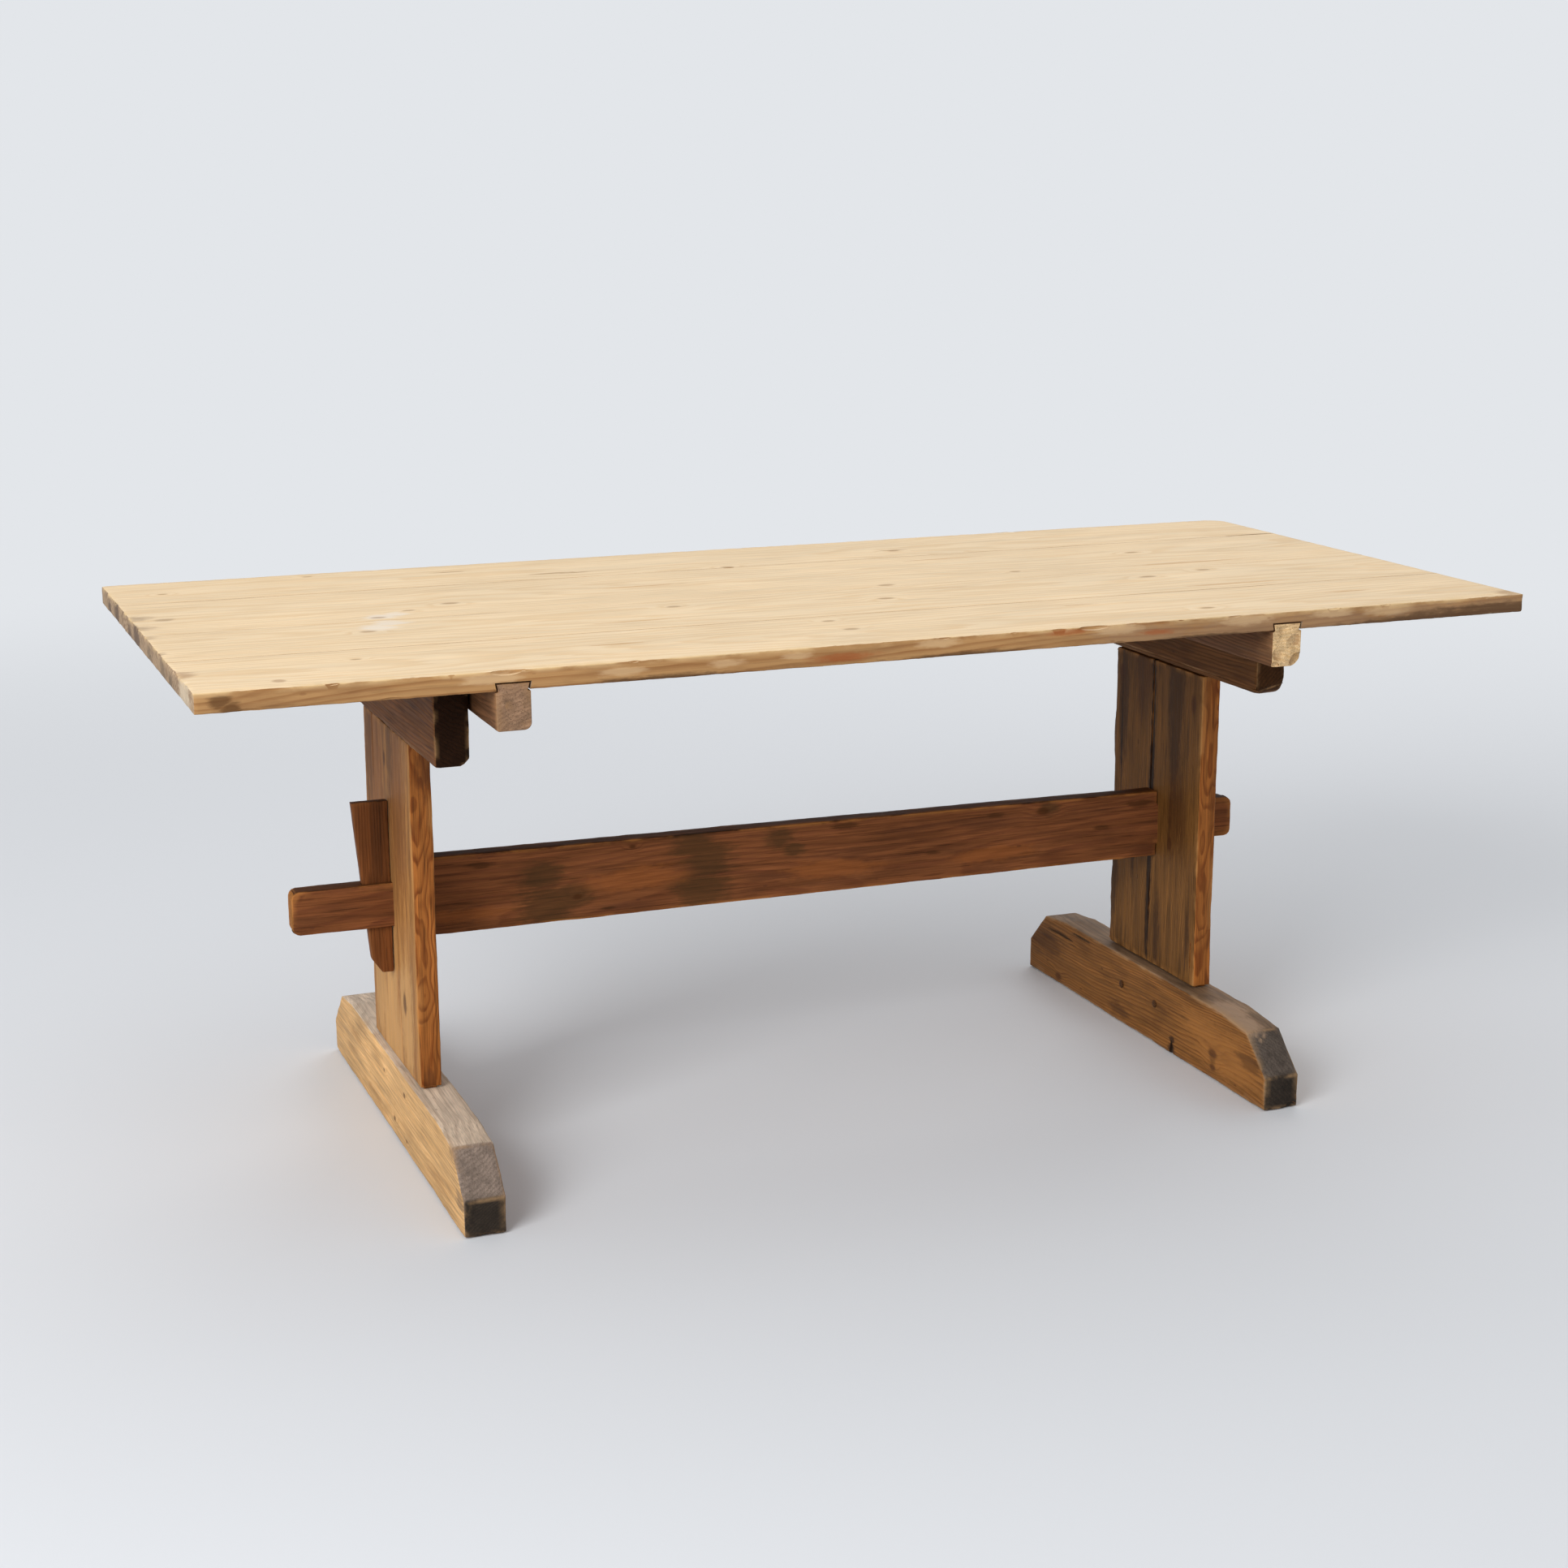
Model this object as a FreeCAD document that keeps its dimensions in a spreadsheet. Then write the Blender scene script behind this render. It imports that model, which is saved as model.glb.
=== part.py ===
import FreeCAD, Part
import math
import os
import re
import Sketcher

# A knock-down trestle table in pine. Two trestles, each a sled foot, a wide upright and a bearer, are
# drawn together by one stretcher whose tusk tenons are wedged outside the uprights. The plank top lies
# loose on the bearers, and two dovetailed battens under it drop inside the bearers and locate it.
# +X runs along the table, +Z is up, and the origin is on the floor under the middle of the top.

doc = FreeCAD.newDocument("trestle_table")

# Driving sizes, in millimetres
SIZES = {
    "table_height": 730,
    "top_length": 1830,
    "top_thickness": 26,
    "front_board_width": 204,
    "second_board_width": 194,
    "third_board_width": 251,
    "back_board_width": 181,
    "top_arris": 3,
    "worn_corner": 40,
    "dowel_diameter": 12,
    "dowel_length": 80,
    "dowel_end_gap": 1,
    "dowel_middle_offset": 180,
    "dowel_end_margin": 140,
    "batten_width": 46,
    "batten_depth": 50,
    "batten_chamfer": 7,
    "batten_gap": 3,
    "tongue_neck": 38,
    "tongue_flare": 3,
    "tongue_depth": 10,
    "trestle_span": 1210,
    "upright_thickness": 32,
    "upright_width": 272,
    "left_foot_length": 780,
    "right_foot_length": 746,
    "foot_height": 112,
    "foot_outer_ledge": 9,
    "foot_inner_ledge": 17,
    "foot_nose_height": 50,
    "foot_slope_run": 56,
    "foot_shoulder_drop": 8,
    "foot_crown_run": 128,
    "sole_chamfer": 6,
    "bearer_length": 600,
    "bearer_height": 116,
    "bearer_outer_overhang": 3,
    "bearer_inner_overhang": 11,
    "bearer_outer_chamfer": 2.5,
    "bearer_inner_chamfer": 10,
    "tenon_thickness": 18,
    "tenon_width": 76,
    "tenon_gap": 29,
    "tenon_depth": 70,
    "mortise_relief": 2,
    "joint_clearance": 0.2,
    "peg_diameter": 12,
    "peg_set_back": 48,
    "peg_bite": 8,
    "peg_end_gap": 0.5,
    "round_clearance": 0.15,
    "stretcher_level": 287,
    "stretcher_thickness": 32,
    "tusk_lower_shoulder": 19,
    "tusk_height": 63,
    "left_upper_shoulder": 30,
    "right_upper_shoulder": 20,
    "left_tusk_length": 138,
    "right_tusk_length": 97,
    "tusk_tip_radius": 11,
    "wedge_thickness": 14,
    "wedge_head": 113,
    "wedge_tail": 66,
    "wedge_head_width": 50,
    "wedge_tip_width": 28,
    "wedge_nose_width": 12,
    "wedge_nose_rise": 20,
    "wedge_back_relief": 6,
    "wedge_clearance": 0.2,
}

sheet = doc.addObject("Spreadsheet::Sheet", "Sizes")
for row, (alias, value) in enumerate(SIZES.items(), start=1):
    sheet.set(f"A{row}", alias)
    sheet.set(f"B{row}", str(value))
    sheet.setAlias(f"B{row}", alias)
doc.recompute()

# Levels and places that several pieces share, as formulas of the driving sizes
UNDERSIDE = "(table_height - top_thickness)"
BEARER_SOFFIT = f"({UNDERSIDE} - bearer_height)"
TOP_WIDTH = "(front_board_width + second_board_width + third_board_width + back_board_width)"
DOWEL_LEVEL = f"({UNDERSIDE} + top_thickness / 2)"
OUTER_FACE = "(trestle_span / 2)"
INNER_FACE = f"({OUTER_FACE} - upright_thickness)"
UPRIGHT_PLANE = f"({OUTER_FACE} - upright_thickness / 2)"
TENON_OFFSET = "((tenon_width + tenon_gap) / 2)"
FOOT_PEG_LEVEL = "(foot_height - peg_set_back)"
BEARER_PEG_LEVEL = f"({BEARER_SOFFIT} + peg_set_back)"
PEG_HOLE = "(peg_diameter + 2 * round_clearance)"
TUSK_BOTTOM = "(stretcher_level + tusk_lower_shoulder)"
TUSK_TOP = f"({TUSK_BOTTOM} + tusk_height)"
WEDGE_BOTTOM = f"({TUSK_BOTTOM} - wedge_tail)"
WEDGE_TOP = f"({TUSK_TOP} + wedge_head)"
WEDGE_SLOPE = f"((wedge_head_width - wedge_tip_width) / ({WEDGE_TOP} - {WEDGE_BOTTOM}))"
BATTEN_PLANE = f"({INNER_FACE} - bearer_inner_overhang - batten_gap - batten_width / 2)"

SIDES = (("left", -1), ("right", 1))
TWINS = (-1, 1)
ALONG_X = FreeCAD.Rotation(FreeCAD.Vector(0, 1, 0), 90)
ALONG_Y = FreeCAD.Rotation(FreeCAD.Vector(1, 0, 0), -90)
START_RADIUS = 100.0
SAME_PLACE = 0.01

pieces = []


def sized(formula):
    """The formula with each size's name turned into a reference to its cell."""
    return re.sub(r"[a-z][a-z_]+", lambda word: f"Sizes.{word.group()}", formula)


def new_body(label, across="0", along="0"):
    body = doc.addObject("PartDesign::Body", label)
    body.Label = label
    body.setExpression("Placement.Base.x", sized(across))
    body.setExpression("Placement.Base.y", sized(along))
    pieces.append(body)
    return body


def new_sketch(body, name, plane_role, offset="0"):
    """A sketch on one of the body's own origin planes, moved along the plane's normal."""
    plane = next(feature for feature in body.Origin.OriginFeatures if feature.Role == plane_role)
    sketch = body.newObject("Sketcher::SketchObject", name)
    sketch.AttachmentSupport = [(plane, "")]
    sketch.MapMode = "FlatFace"
    sketch.setExpression("AttachmentOffset.Base.z", sized(offset))
    return sketch


def bind(sketch, kind, formula, *target):
    """Adds one dimension to a sketch and ties it to a formula."""
    index = sketch.addConstraint(Sketcher.Constraint(kind, *target, START_RADIUS))
    sketch.setExpression(f"Constraints[{index}]", sized(formula))


def outline(sketch, corners):
    """A closed outline of straight edges, each corner dimensioned from the sketch's origin."""
    count = len(corners)
    turn = 2 * math.pi / count
    start = [
        FreeCAD.Vector(START_RADIUS * math.cos(turn * place), START_RADIUS * math.sin(turn * place), 0)
        for place in range(count)
    ]
    edges = [
        sketch.addGeometry(Part.LineSegment(start[place], start[(place + 1) % count]), False)
        for place in range(count)
    ]
    for place, edge in enumerate(edges):
        sketch.addConstraint(Sketcher.Constraint("Coincident", edge, 2, edges[(place + 1) % count], 1))
    for edge, (across, up) in zip(edges, corners):
        bind(sketch, "DistanceX", across, -1, 1, edge, 1)
        bind(sketch, "DistanceY", up, -1, 1, edge, 1)


def rectangle(sketch, low_across, high_across, low_up, high_up):
    outline(sketch, [
        (low_across, low_up),
        (high_across, low_up),
        (high_across, high_up),
        (low_across, high_up),
    ])


def flipped(half):
    """The mirror image of an outline's right half about the upright axis, going on the same way round."""
    return [(f"-({across})", up) for across, up in reversed(half)]


def mirrored(half):
    return half + flipped(half)


def circle(sketch, across, up, diameter):
    start = Part.Circle(FreeCAD.Vector(START_RADIUS, START_RADIUS, 0), FreeCAD.Vector(0, 0, 1), START_RADIUS)
    edge = sketch.addGeometry(start, False)
    bind(sketch, "DistanceX", across, -1, 1, edge, 3)
    bind(sketch, "DistanceY", up, -1, 1, edge, 3)
    bind(sketch, "Diameter", diameter, edge)


def pad(body, name, sketch, thickness):
    """Thickens a sketch equally to both sides of its plane."""
    feature = body.newObject("PartDesign::Pad", name)
    feature.Profile = sketch
    feature.SideType = "Symmetric"
    feature.setExpression("Length", sized(thickness))
    doc.recompute()
    return feature


def pocket(body, name, sketch, depth, side_type="Symmetric", towards_normal=False):
    """Cuts a sketch out of the body, and makes sure that it met the wood."""
    before = body.Shape.Volume
    feature = body.newObject("PartDesign::Pocket", name)
    feature.Profile = sketch
    feature.SideType = side_type
    feature.Reversed = towards_normal
    feature.setExpression("Length", sized(depth))
    doc.recompute()
    if body.Shape.Volume >= before:
        raise RuntimeError(f"{name} cuts nothing out of {body.Label}")


def fillet(body, name, base, radius, belongs):
    """Rounds the edges of the base feature for which belongs(edge) is true."""
    edges = [f"Edge{number}" for number, edge in enumerate(base.Shape.Edges, start=1) if belongs(edge)]
    feature = body.newObject("PartDesign::Fillet", name)
    feature.Base = (base, edges)
    feature.setExpression("Radius", sized(radius))
    doc.recompute()
    return feature


def rod(label, number, diameter, length, rotation, across, along, up):
    """One round pin, which lies along X or Y from the point given."""
    pin = doc.addObject("Part::Cylinder", f"{label}_{number}")
    pin.setExpression("Radius", sized(f"{diameter} / 2"))
    pin.setExpression("Height", sized(length))
    pin.Placement.Rotation = rotation
    pin.setExpression("Placement.Base.x", sized(across))
    pin.setExpression("Placement.Base.y", sized(along))
    pin.setExpression("Placement.Base.z", sized(up))
    return pin


def group(label, pins):
    together = doc.addObject("Part::Compound", label)
    together.Label = label
    together.Links = pins
    pieces.append(together)


# Feet: a beam on its edge, with the toes cut down in a steep slope below a gentle one
def make_foot(name, outward):
    foot = new_body(f"{name}_foot", f"{outward} * {UPRIGHT_PLANE}")
    middle = f"{outward} * (foot_outer_ledge - foot_inner_ledge) / 2"
    toe = f"{name}_foot_length / 2"
    half = [
        (f"{toe} - sole_chamfer", "0"),
        (toe, "sole_chamfer"),
        (toe, "foot_nose_height"),
        (f"{toe} - foot_slope_run", "foot_height - foot_shoulder_drop"),
        (f"{toe} - foot_crown_run", "foot_height"),
    ]
    profile = new_sketch(foot, "foot_profile", "YZ_Plane", middle)
    outline(profile, mirrored(half))
    pad(foot, "foot_beam", profile, "upright_thickness + foot_outer_ledge + foot_inner_ledge")
    mortise_bottom = "foot_height - tenon_depth - mortise_relief"
    cut_mortises(foot, mortise_bottom, "foot_height + joint_clearance")
    drill_pegs(foot, outward, "foot_inner_ledge", FOOT_PEG_LEVEL)


# Bearers: a straight beam with eased lower arrises, wider on the inner side of the upright
def make_bearer(name, outward):
    bearer = new_body(f"{name}_bearer", f"{outward} * {UPRIGHT_PLANE}")
    outer = f"{outward} * (upright_thickness / 2 + bearer_outer_overhang)"
    inner = f"{-outward} * (upright_thickness / 2 + bearer_inner_overhang)"
    section = new_sketch(bearer, "bearer_section", "XZ_Plane")
    outline(section, [
        (f"{outer} - ({outward}) * bearer_outer_chamfer", BEARER_SOFFIT),
        (f"{inner} + ({outward}) * bearer_inner_chamfer", BEARER_SOFFIT),
        (inner, f"{BEARER_SOFFIT} + bearer_inner_chamfer"),
        (inner, UNDERSIDE),
        (outer, UNDERSIDE),
        (outer, f"{BEARER_SOFFIT} + bearer_outer_chamfer"),
    ])
    pad(bearer, "bearer_beam", section, "bearer_length")
    mortise_top = f"{BEARER_SOFFIT} + tenon_depth + mortise_relief"
    cut_mortises(bearer, f"{BEARER_SOFFIT} - joint_clearance", mortise_top)
    drill_pegs(bearer, outward, "bearer_inner_overhang", BEARER_PEG_LEVEL)


def cut_mortises(beam, low, high):
    """Twin mortises for the upright's tenons, on the upright's middle plane."""
    mortises = new_sketch(beam, "mortise_outline", "YZ_Plane")
    for twin in TWINS:
        middle = f"{twin} * {TENON_OFFSET}"
        reach = "(tenon_width / 2 + joint_clearance)"
        rectangle(mortises, f"{middle} - {reach}", f"{middle} + {reach}", low, high)
    pocket(beam, "twin_mortises", mortises, "tenon_thickness + 2 * joint_clearance")


def drill_pegs(beam, outward, ledge, level):
    """Blind peg holes from the inner face, through the mortises and into the outer cheek."""
    face = f"{-outward} * (upright_thickness / 2 + {ledge})"
    holes = new_sketch(beam, "peg_hole_outline", "YZ_Plane", face)
    for twin in TWINS:
        circle(holes, f"{twin} * {TENON_OFFSET}", level, PEG_HOLE)
    depth = f"upright_thickness / 2 + {ledge} + tenon_thickness / 2 + peg_bite"
    pocket(beam, "peg_holes", holes, depth, "One side", towards_normal=outward > 0)


# Uprights: one wide plank with twin tenons at both ends and the stretcher's mortise through it
def make_upright(name, outward):
    upright = new_body(f"{name}_upright", f"{outward} * {UPRIGHT_PLANE}")
    plank = new_sketch(upright, "plank_outline", "YZ_Plane")
    rectangle(plank, "-upright_width / 2", "upright_width / 2", "foot_height", BEARER_SOFFIT)
    pad(upright, "plank", plank, "upright_thickness")
    tenons = new_sketch(upright, "tenon_outline", "YZ_Plane")
    holes = new_sketch(upright, "peg_hole_outline", "YZ_Plane")
    for twin in TWINS:
        middle = f"{twin} * {TENON_OFFSET}"
        low, high = f"{middle} - tenon_width / 2", f"{middle} + tenon_width / 2"
        rectangle(tenons, low, high, "foot_height - tenon_depth", "foot_height")
        rectangle(tenons, low, high, BEARER_SOFFIT, f"{BEARER_SOFFIT} + tenon_depth")
        circle(holes, middle, FOOT_PEG_LEVEL, PEG_HOLE)
        circle(holes, middle, BEARER_PEG_LEVEL, PEG_HOLE)
    pad(upright, "twin_tenons", tenons, "tenon_thickness")
    mortise = new_sketch(upright, "stretcher_mortise_outline", "YZ_Plane")
    reach = "stretcher_thickness / 2 + joint_clearance"
    low, high = f"{TUSK_BOTTOM} - joint_clearance", f"{TUSK_TOP} + joint_clearance"
    rectangle(mortise, f"-({reach})", reach, low, high)
    pocket(upright, "stretcher_mortise", mortise, "2 * upright_thickness")
    pocket(upright, "peg_holes", holes, "2 * tenon_thickness")


# Pegs: cleft round pins driven from the inner face of each foot and bearer
def make_pegs(label, outward, ledge, level):
    length = f"(upright_thickness / 2 + {ledge} + tenon_thickness / 2 + peg_bite - peg_end_gap)"
    inner = f"(upright_thickness / 2 + {ledge})"
    start = f"{UPRIGHT_PLANE} - {inner}" if outward > 0 else f"-{UPRIGHT_PLANE} + {inner} - {length}"
    group(label, [
        rod(label, number, "peg_diameter", length, ALONG_X, start, f"{twin} * {TENON_OFFSET}", level)
        for number, twin in enumerate(TWINS, start=1)
    ])


for side, outward in SIDES:
    make_foot(side, outward)
    make_upright(side, outward)
    make_bearer(side, outward)
    make_pegs(f"{side}_foot_pegs", outward, "foot_inner_ledge", FOOT_PEG_LEVEL)
    make_pegs(f"{side}_bearer_pegs", outward, "bearer_inner_overhang", BEARER_PEG_LEVEL)


# Stretcher: a rail, deeper at its left end, with shoulders against the uprights and a long tusk tenon
# through each of them
def wedge_reach(level):
    """How far the wedge's sloping edge stands from the middle of the table at a level."""
    return f"{OUTER_FACE} + wedge_tip_width + {WEDGE_SLOPE} * ({level} - {WEDGE_BOTTOM})"


def rail_end(name):
    """One end of the rail from its lower edge to its upper one, as if it were the right end."""
    tip = f"{OUTER_FACE} + {name}_tusk_length"
    return [
        (INNER_FACE, "stretcher_level"),
        (INNER_FACE, TUSK_BOTTOM),
        (tip, TUSK_BOTTOM),
        (tip, TUSK_TOP),
        (INNER_FACE, TUSK_TOP),
        (INNER_FACE, f"{TUSK_TOP} + {name}_upper_shoulder"),
    ]


stretcher = new_body("stretcher")
rail = new_sketch(stretcher, "rail_outline", "XZ_Plane")
outline(rail, rail_end("right") + flipped(rail_end("left")))
blank = pad(stretcher, "rail", rail, "stretcher_thickness")
rail_box = blank.Shape.BoundBox
fillet(stretcher, "tusk_tips", blank, "tusk_tip_radius", lambda edge: (
    edge.BoundBox.YLength > SAME_PLACE
    and edge.BoundBox.XLength < SAME_PLACE
    and edge.BoundBox.ZLength < SAME_PLACE
    and min(edge.CenterOfMass.x - rail_box.XMin, rail_box.XMax - edge.CenterOfMass.x) < SAME_PLACE
))
slots = new_sketch(stretcher, "wedge_slot_outline", "XZ_Plane")
slot_low = f"({TUSK_BOTTOM} - mortise_relief)"
slot_high = f"({TUSK_TOP} + mortise_relief)"
for side, outward in SIDES:
    outline(slots, [
        (f"{outward} * ({OUTER_FACE} - wedge_back_relief)", slot_low),
        (f"{outward} * ({wedge_reach(slot_low)} + wedge_clearance)", slot_low),
        (f"{outward} * ({wedge_reach(slot_high)} + wedge_clearance)", slot_high),
        (f"{outward} * ({OUTER_FACE} - wedge_back_relief)", slot_high),
    ])
pocket(stretcher, "wedge_slots", slots, "wedge_thickness + 2 * wedge_clearance")


# Wedges: the straight edge bears on the upright and the sloping edge on the end of the tusk's slot
for side, outward in SIDES:
    wedge = new_body(f"{side}_wedge")
    face = new_sketch(wedge, "wedge_outline", "XZ_Plane")
    nose_level = f"({WEDGE_BOTTOM} + wedge_nose_rise)"
    outline(face, [
        (f"{outward} * {OUTER_FACE}", WEDGE_BOTTOM),
        (f"{outward} * ({OUTER_FACE} + wedge_tip_width - wedge_nose_width)", WEDGE_BOTTOM),
        (f"{outward} * ({wedge_reach(nose_level)})", nose_level),
        (f"{outward} * ({wedge_reach(WEDGE_TOP)})", WEDGE_TOP),
        (f"{outward} * {OUTER_FACE}", WEDGE_TOP),
    ])
    pad(wedge, "wedge_blade", face, "wedge_thickness")


# Top: four planks edge to edge, housed across their undersides for the battens and dowelled together
BOARDS = (
    ("top_board_front", "front_board_width"),
    ("top_board_second", "second_board_width"),
    ("top_board_third", "third_board_width"),
    ("top_board_back", "back_board_width"),
)
DOWEL_PLACES = (
    "-(top_length / 2 - dowel_end_margin)",
    "-dowel_middle_offset",
    "dowel_middle_offset",
    "top_length / 2 - dowel_end_margin",
)


def cut_housings(board):
    """The two dovetailed housings, open below, that the battens' tongues slide into."""
    housings = new_sketch(board, "housing_outline", "XZ_Plane")
    neck = "(tongue_neck / 2 + joint_clearance)"
    head = "(tongue_neck / 2 + tongue_flare + joint_clearance)"
    for _, outward in SIDES:
        middle = f"{outward} * {BATTEN_PLANE}"
        outline(housings, [
            (f"{middle} - {neck}", f"{UNDERSIDE} - joint_clearance"),
            (f"{middle} + {neck}", f"{UNDERSIDE} - joint_clearance"),
            (f"{middle} + {neck}", UNDERSIDE),
            (f"{middle} + {head}", f"{UNDERSIDE} + tongue_depth + joint_clearance"),
            (f"{middle} - {head}", f"{UNDERSIDE} + tongue_depth + joint_clearance"),
            (f"{middle} - {neck}", UNDERSIDE),
        ])
    pocket(board, "batten_housings", housings, f"2 * {TOP_WIDTH}")


def drill_edge(board, name, edge):
    """Blind dowel holes in the plank edge that stands at y = edge."""
    holes = new_sketch(board, f"{name}_outline", "XZ_Plane", f"-({edge})")
    for place in DOWEL_PLACES:
        circle(holes, place, DOWEL_LEVEL, "dowel_diameter + 2 * round_clearance")
    pocket(board, name, holes, "dowel_length + 2 * dowel_end_gap")


def ease_board(board, blank, is_front, is_back):
    """Rounds the outer arrises of the upper face, after the worn corner at the back."""
    if is_back:
        box = blank.Shape.BoundBox
        blank = fillet(board, "worn_corner", blank, "worn_corner", lambda edge: (
            edge.BoundBox.ZLength > SAME_PLACE
            and abs(edge.CenterOfMass.x - box.XMax) < SAME_PLACE
            and abs(edge.CenterOfMass.y - box.YMax) < SAME_PLACE
        ))
    box = blank.Shape.BoundBox

    def is_outer_arris(edge):
        on_face = edge.BoundBox.ZMin > box.ZMax - SAME_PLACE
        at_front_joint = edge.BoundBox.YMax < box.YMin + SAME_PLACE and not is_front
        at_back_joint = edge.BoundBox.YMin > box.YMax - SAME_PLACE and not is_back
        return on_face and not at_front_joint and not at_back_joint

    fillet(board, "outer_arrises", blank, "top_arris", is_outer_arris)


front_edge = f"(-{TOP_WIDTH} / 2)"
dowels = []
for place, (label, width) in enumerate(BOARDS):
    is_front = place == 0
    is_back = place == len(BOARDS) - 1
    board = new_body(label, along=f"{front_edge} + {width} / 2")
    section = new_sketch(board, "board_section", "YZ_Plane")
    rectangle(section, f"-{width} / 2", f"{width} / 2", UNDERSIDE, "table_height")
    ease_board(board, pad(board, "plank", section, "top_length"), is_front, is_back)
    cut_housings(board)
    if not is_front:
        drill_edge(board, "front_dowel_holes", f"-{width} / 2")
        for across in DOWEL_PLACES:
            number = len(dowels) + 1
            start = f"{front_edge} - dowel_length / 2"
            spots = (across, start, DOWEL_LEVEL)
            dowels.append(rod("top_dowel", number, "dowel_diameter", "dowel_length", ALONG_Y, *spots))
    if not is_back:
        drill_edge(board, "back_dowel_holes", f"{width} / 2")
    front_edge = f"({front_edge} + {width})"
group("top_dowels", dowels)


# Battens: a beam across the planks, its dovetailed tongue in their housings, eased along its lower arrises
for side, outward in SIDES:
    batten = new_body(f"{side}_batten", f"{outward} * {BATTEN_PLANE}")
    section = new_sketch(batten, "batten_section", "XZ_Plane")
    outline(section, mirrored([
        ("batten_width / 2 - batten_chamfer", f"{UNDERSIDE} - batten_depth"),
        ("batten_width / 2", f"{UNDERSIDE} - batten_depth + batten_chamfer"),
        ("batten_width / 2", UNDERSIDE),
        ("tongue_neck / 2", UNDERSIDE),
        ("tongue_neck / 2 + tongue_flare", f"{UNDERSIDE} + tongue_depth"),
    ]))
    pad(batten, "batten_beam", section, TOP_WIDTH)


# Every feature and every solid has to be sound before any piece is written
doc.recompute()
for feature in doc.Objects:
    if "Invalid" in feature.State or "Error" in feature.State:
        raise RuntimeError(f"{feature.Label} failed: {feature.State}")
for piece in pieces:
    if piece.Shape.isNull() or not piece.Shape.isValid() or not piece.Shape.Solids:
        raise RuntimeError(f"{piece.Label} has no sound solid")

os.makedirs("parts", exist_ok=True)
for piece in pieces:
    piece.Shape.exportStep(os.path.join("parts", f"{piece.Label}.step"))
    box = piece.Shape.BoundBox
    corners = (box.XMin, box.YMin, box.ZMin, box.XMax, box.YMax, box.ZMax)
    print(piece.Label, len(piece.Shape.Solids), [round(value, 2) for value in corners])
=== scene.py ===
import math
import random

import bmesh
import bpy
from mathutils import Matrix, Vector


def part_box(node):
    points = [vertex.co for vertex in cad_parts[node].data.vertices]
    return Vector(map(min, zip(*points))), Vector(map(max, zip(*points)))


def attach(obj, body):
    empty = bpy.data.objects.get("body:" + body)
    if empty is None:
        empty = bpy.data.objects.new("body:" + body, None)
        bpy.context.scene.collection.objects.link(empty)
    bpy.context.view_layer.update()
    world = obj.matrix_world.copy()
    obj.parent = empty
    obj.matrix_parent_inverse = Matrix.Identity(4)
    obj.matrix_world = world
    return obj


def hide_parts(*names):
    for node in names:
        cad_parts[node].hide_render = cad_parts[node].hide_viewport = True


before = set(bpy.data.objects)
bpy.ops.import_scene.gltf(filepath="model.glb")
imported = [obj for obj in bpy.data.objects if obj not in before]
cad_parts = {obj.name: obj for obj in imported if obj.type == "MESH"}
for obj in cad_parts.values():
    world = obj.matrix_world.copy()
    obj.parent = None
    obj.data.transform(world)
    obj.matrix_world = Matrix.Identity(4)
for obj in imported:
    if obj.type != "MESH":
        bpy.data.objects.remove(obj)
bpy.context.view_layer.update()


# Feet
# Each foot is a beam of old pine that lies on the floor along the table's width. It was sawn and planed,
# its toes cut down in a steep slope below a gentle one, and shoes have worn its arrises round since.
MM = 0.001
HAIR = 0.05 * MM
X, Y, Z = range(3)
AXES = (Vector((1, 0, 0)), Vector((0, 1, 0)), Vector((0, 0, 1)))
LEFTWARD, RIGHTWARD, FORWARD, BACKWARD, UPWARD = (-1, 0, 0), (1, 0, 0), (0, -1, 0), (0, 1, 0), (0, 0, 1)
SIDES = (("left", -1), ("right", 1))
PLAIN, RUBBED, BROKEN = range(3)
SHARP_ANGLE, FLAT_ANGLE, SMOOTH_ANGLE = math.radians(25), math.radians(4), math.radians(40)
ARRIS_FACES = 4
SHORTEST_CUT, CUT_MARGIN, MOST_CUTS = 7 * MM, 12 * MM, 9
CROOKEDNESS = 0.7


def rough_block(name, low, high):
    """A sawn blank that fills the room between two corners, left open in edit mode."""
    bpy.ops.object.select_all(action="DESELECT")
    bpy.ops.mesh.primitive_cube_add(size=1, location=(low + high) / 2, scale=high - low)
    bpy.ops.object.transform_apply(location=True, rotation=True, scale=True)
    block = bpy.context.object
    block.name = block.data.name = name
    bpy.ops.object.mode_set(mode="EDIT")
    return block


def pick(kind, belongs):
    """Selects only the vertices, edges or faces for which belongs(one) is true."""
    bpy.ops.mesh.select_all(action="DESELECT")
    bpy.ops.mesh.select_mode(type=kind)
    mesh = bpy.context.object.data
    shape = bmesh.from_edit_mesh(mesh)
    for one in {"VERT": shape.verts, "EDGE": shape.edges, "FACE": shape.faces}[kind]:
        if belongs(one):
            one.select_set(True)
    bmesh.update_edit_mesh(mesh)


def cut(axis, place):
    """Scores a line right round the piece, square to an axis."""
    bpy.ops.mesh.select_all(action="SELECT")
    bpy.ops.mesh.bisect(plane_co=AXES[axis] * place, plane_no=AXES[axis])


def shift(offset, belongs):
    """Moves the vertices for which belongs(place) is true."""
    pick("VERT", lambda corner: belongs(corner.co))
    bpy.ops.transform.translate(value=offset)


def at(place, axis, value):
    """Whether a place has this value on an axis, give or take a hair."""
    return abs(place[axis] - value) < HAIR


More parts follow.
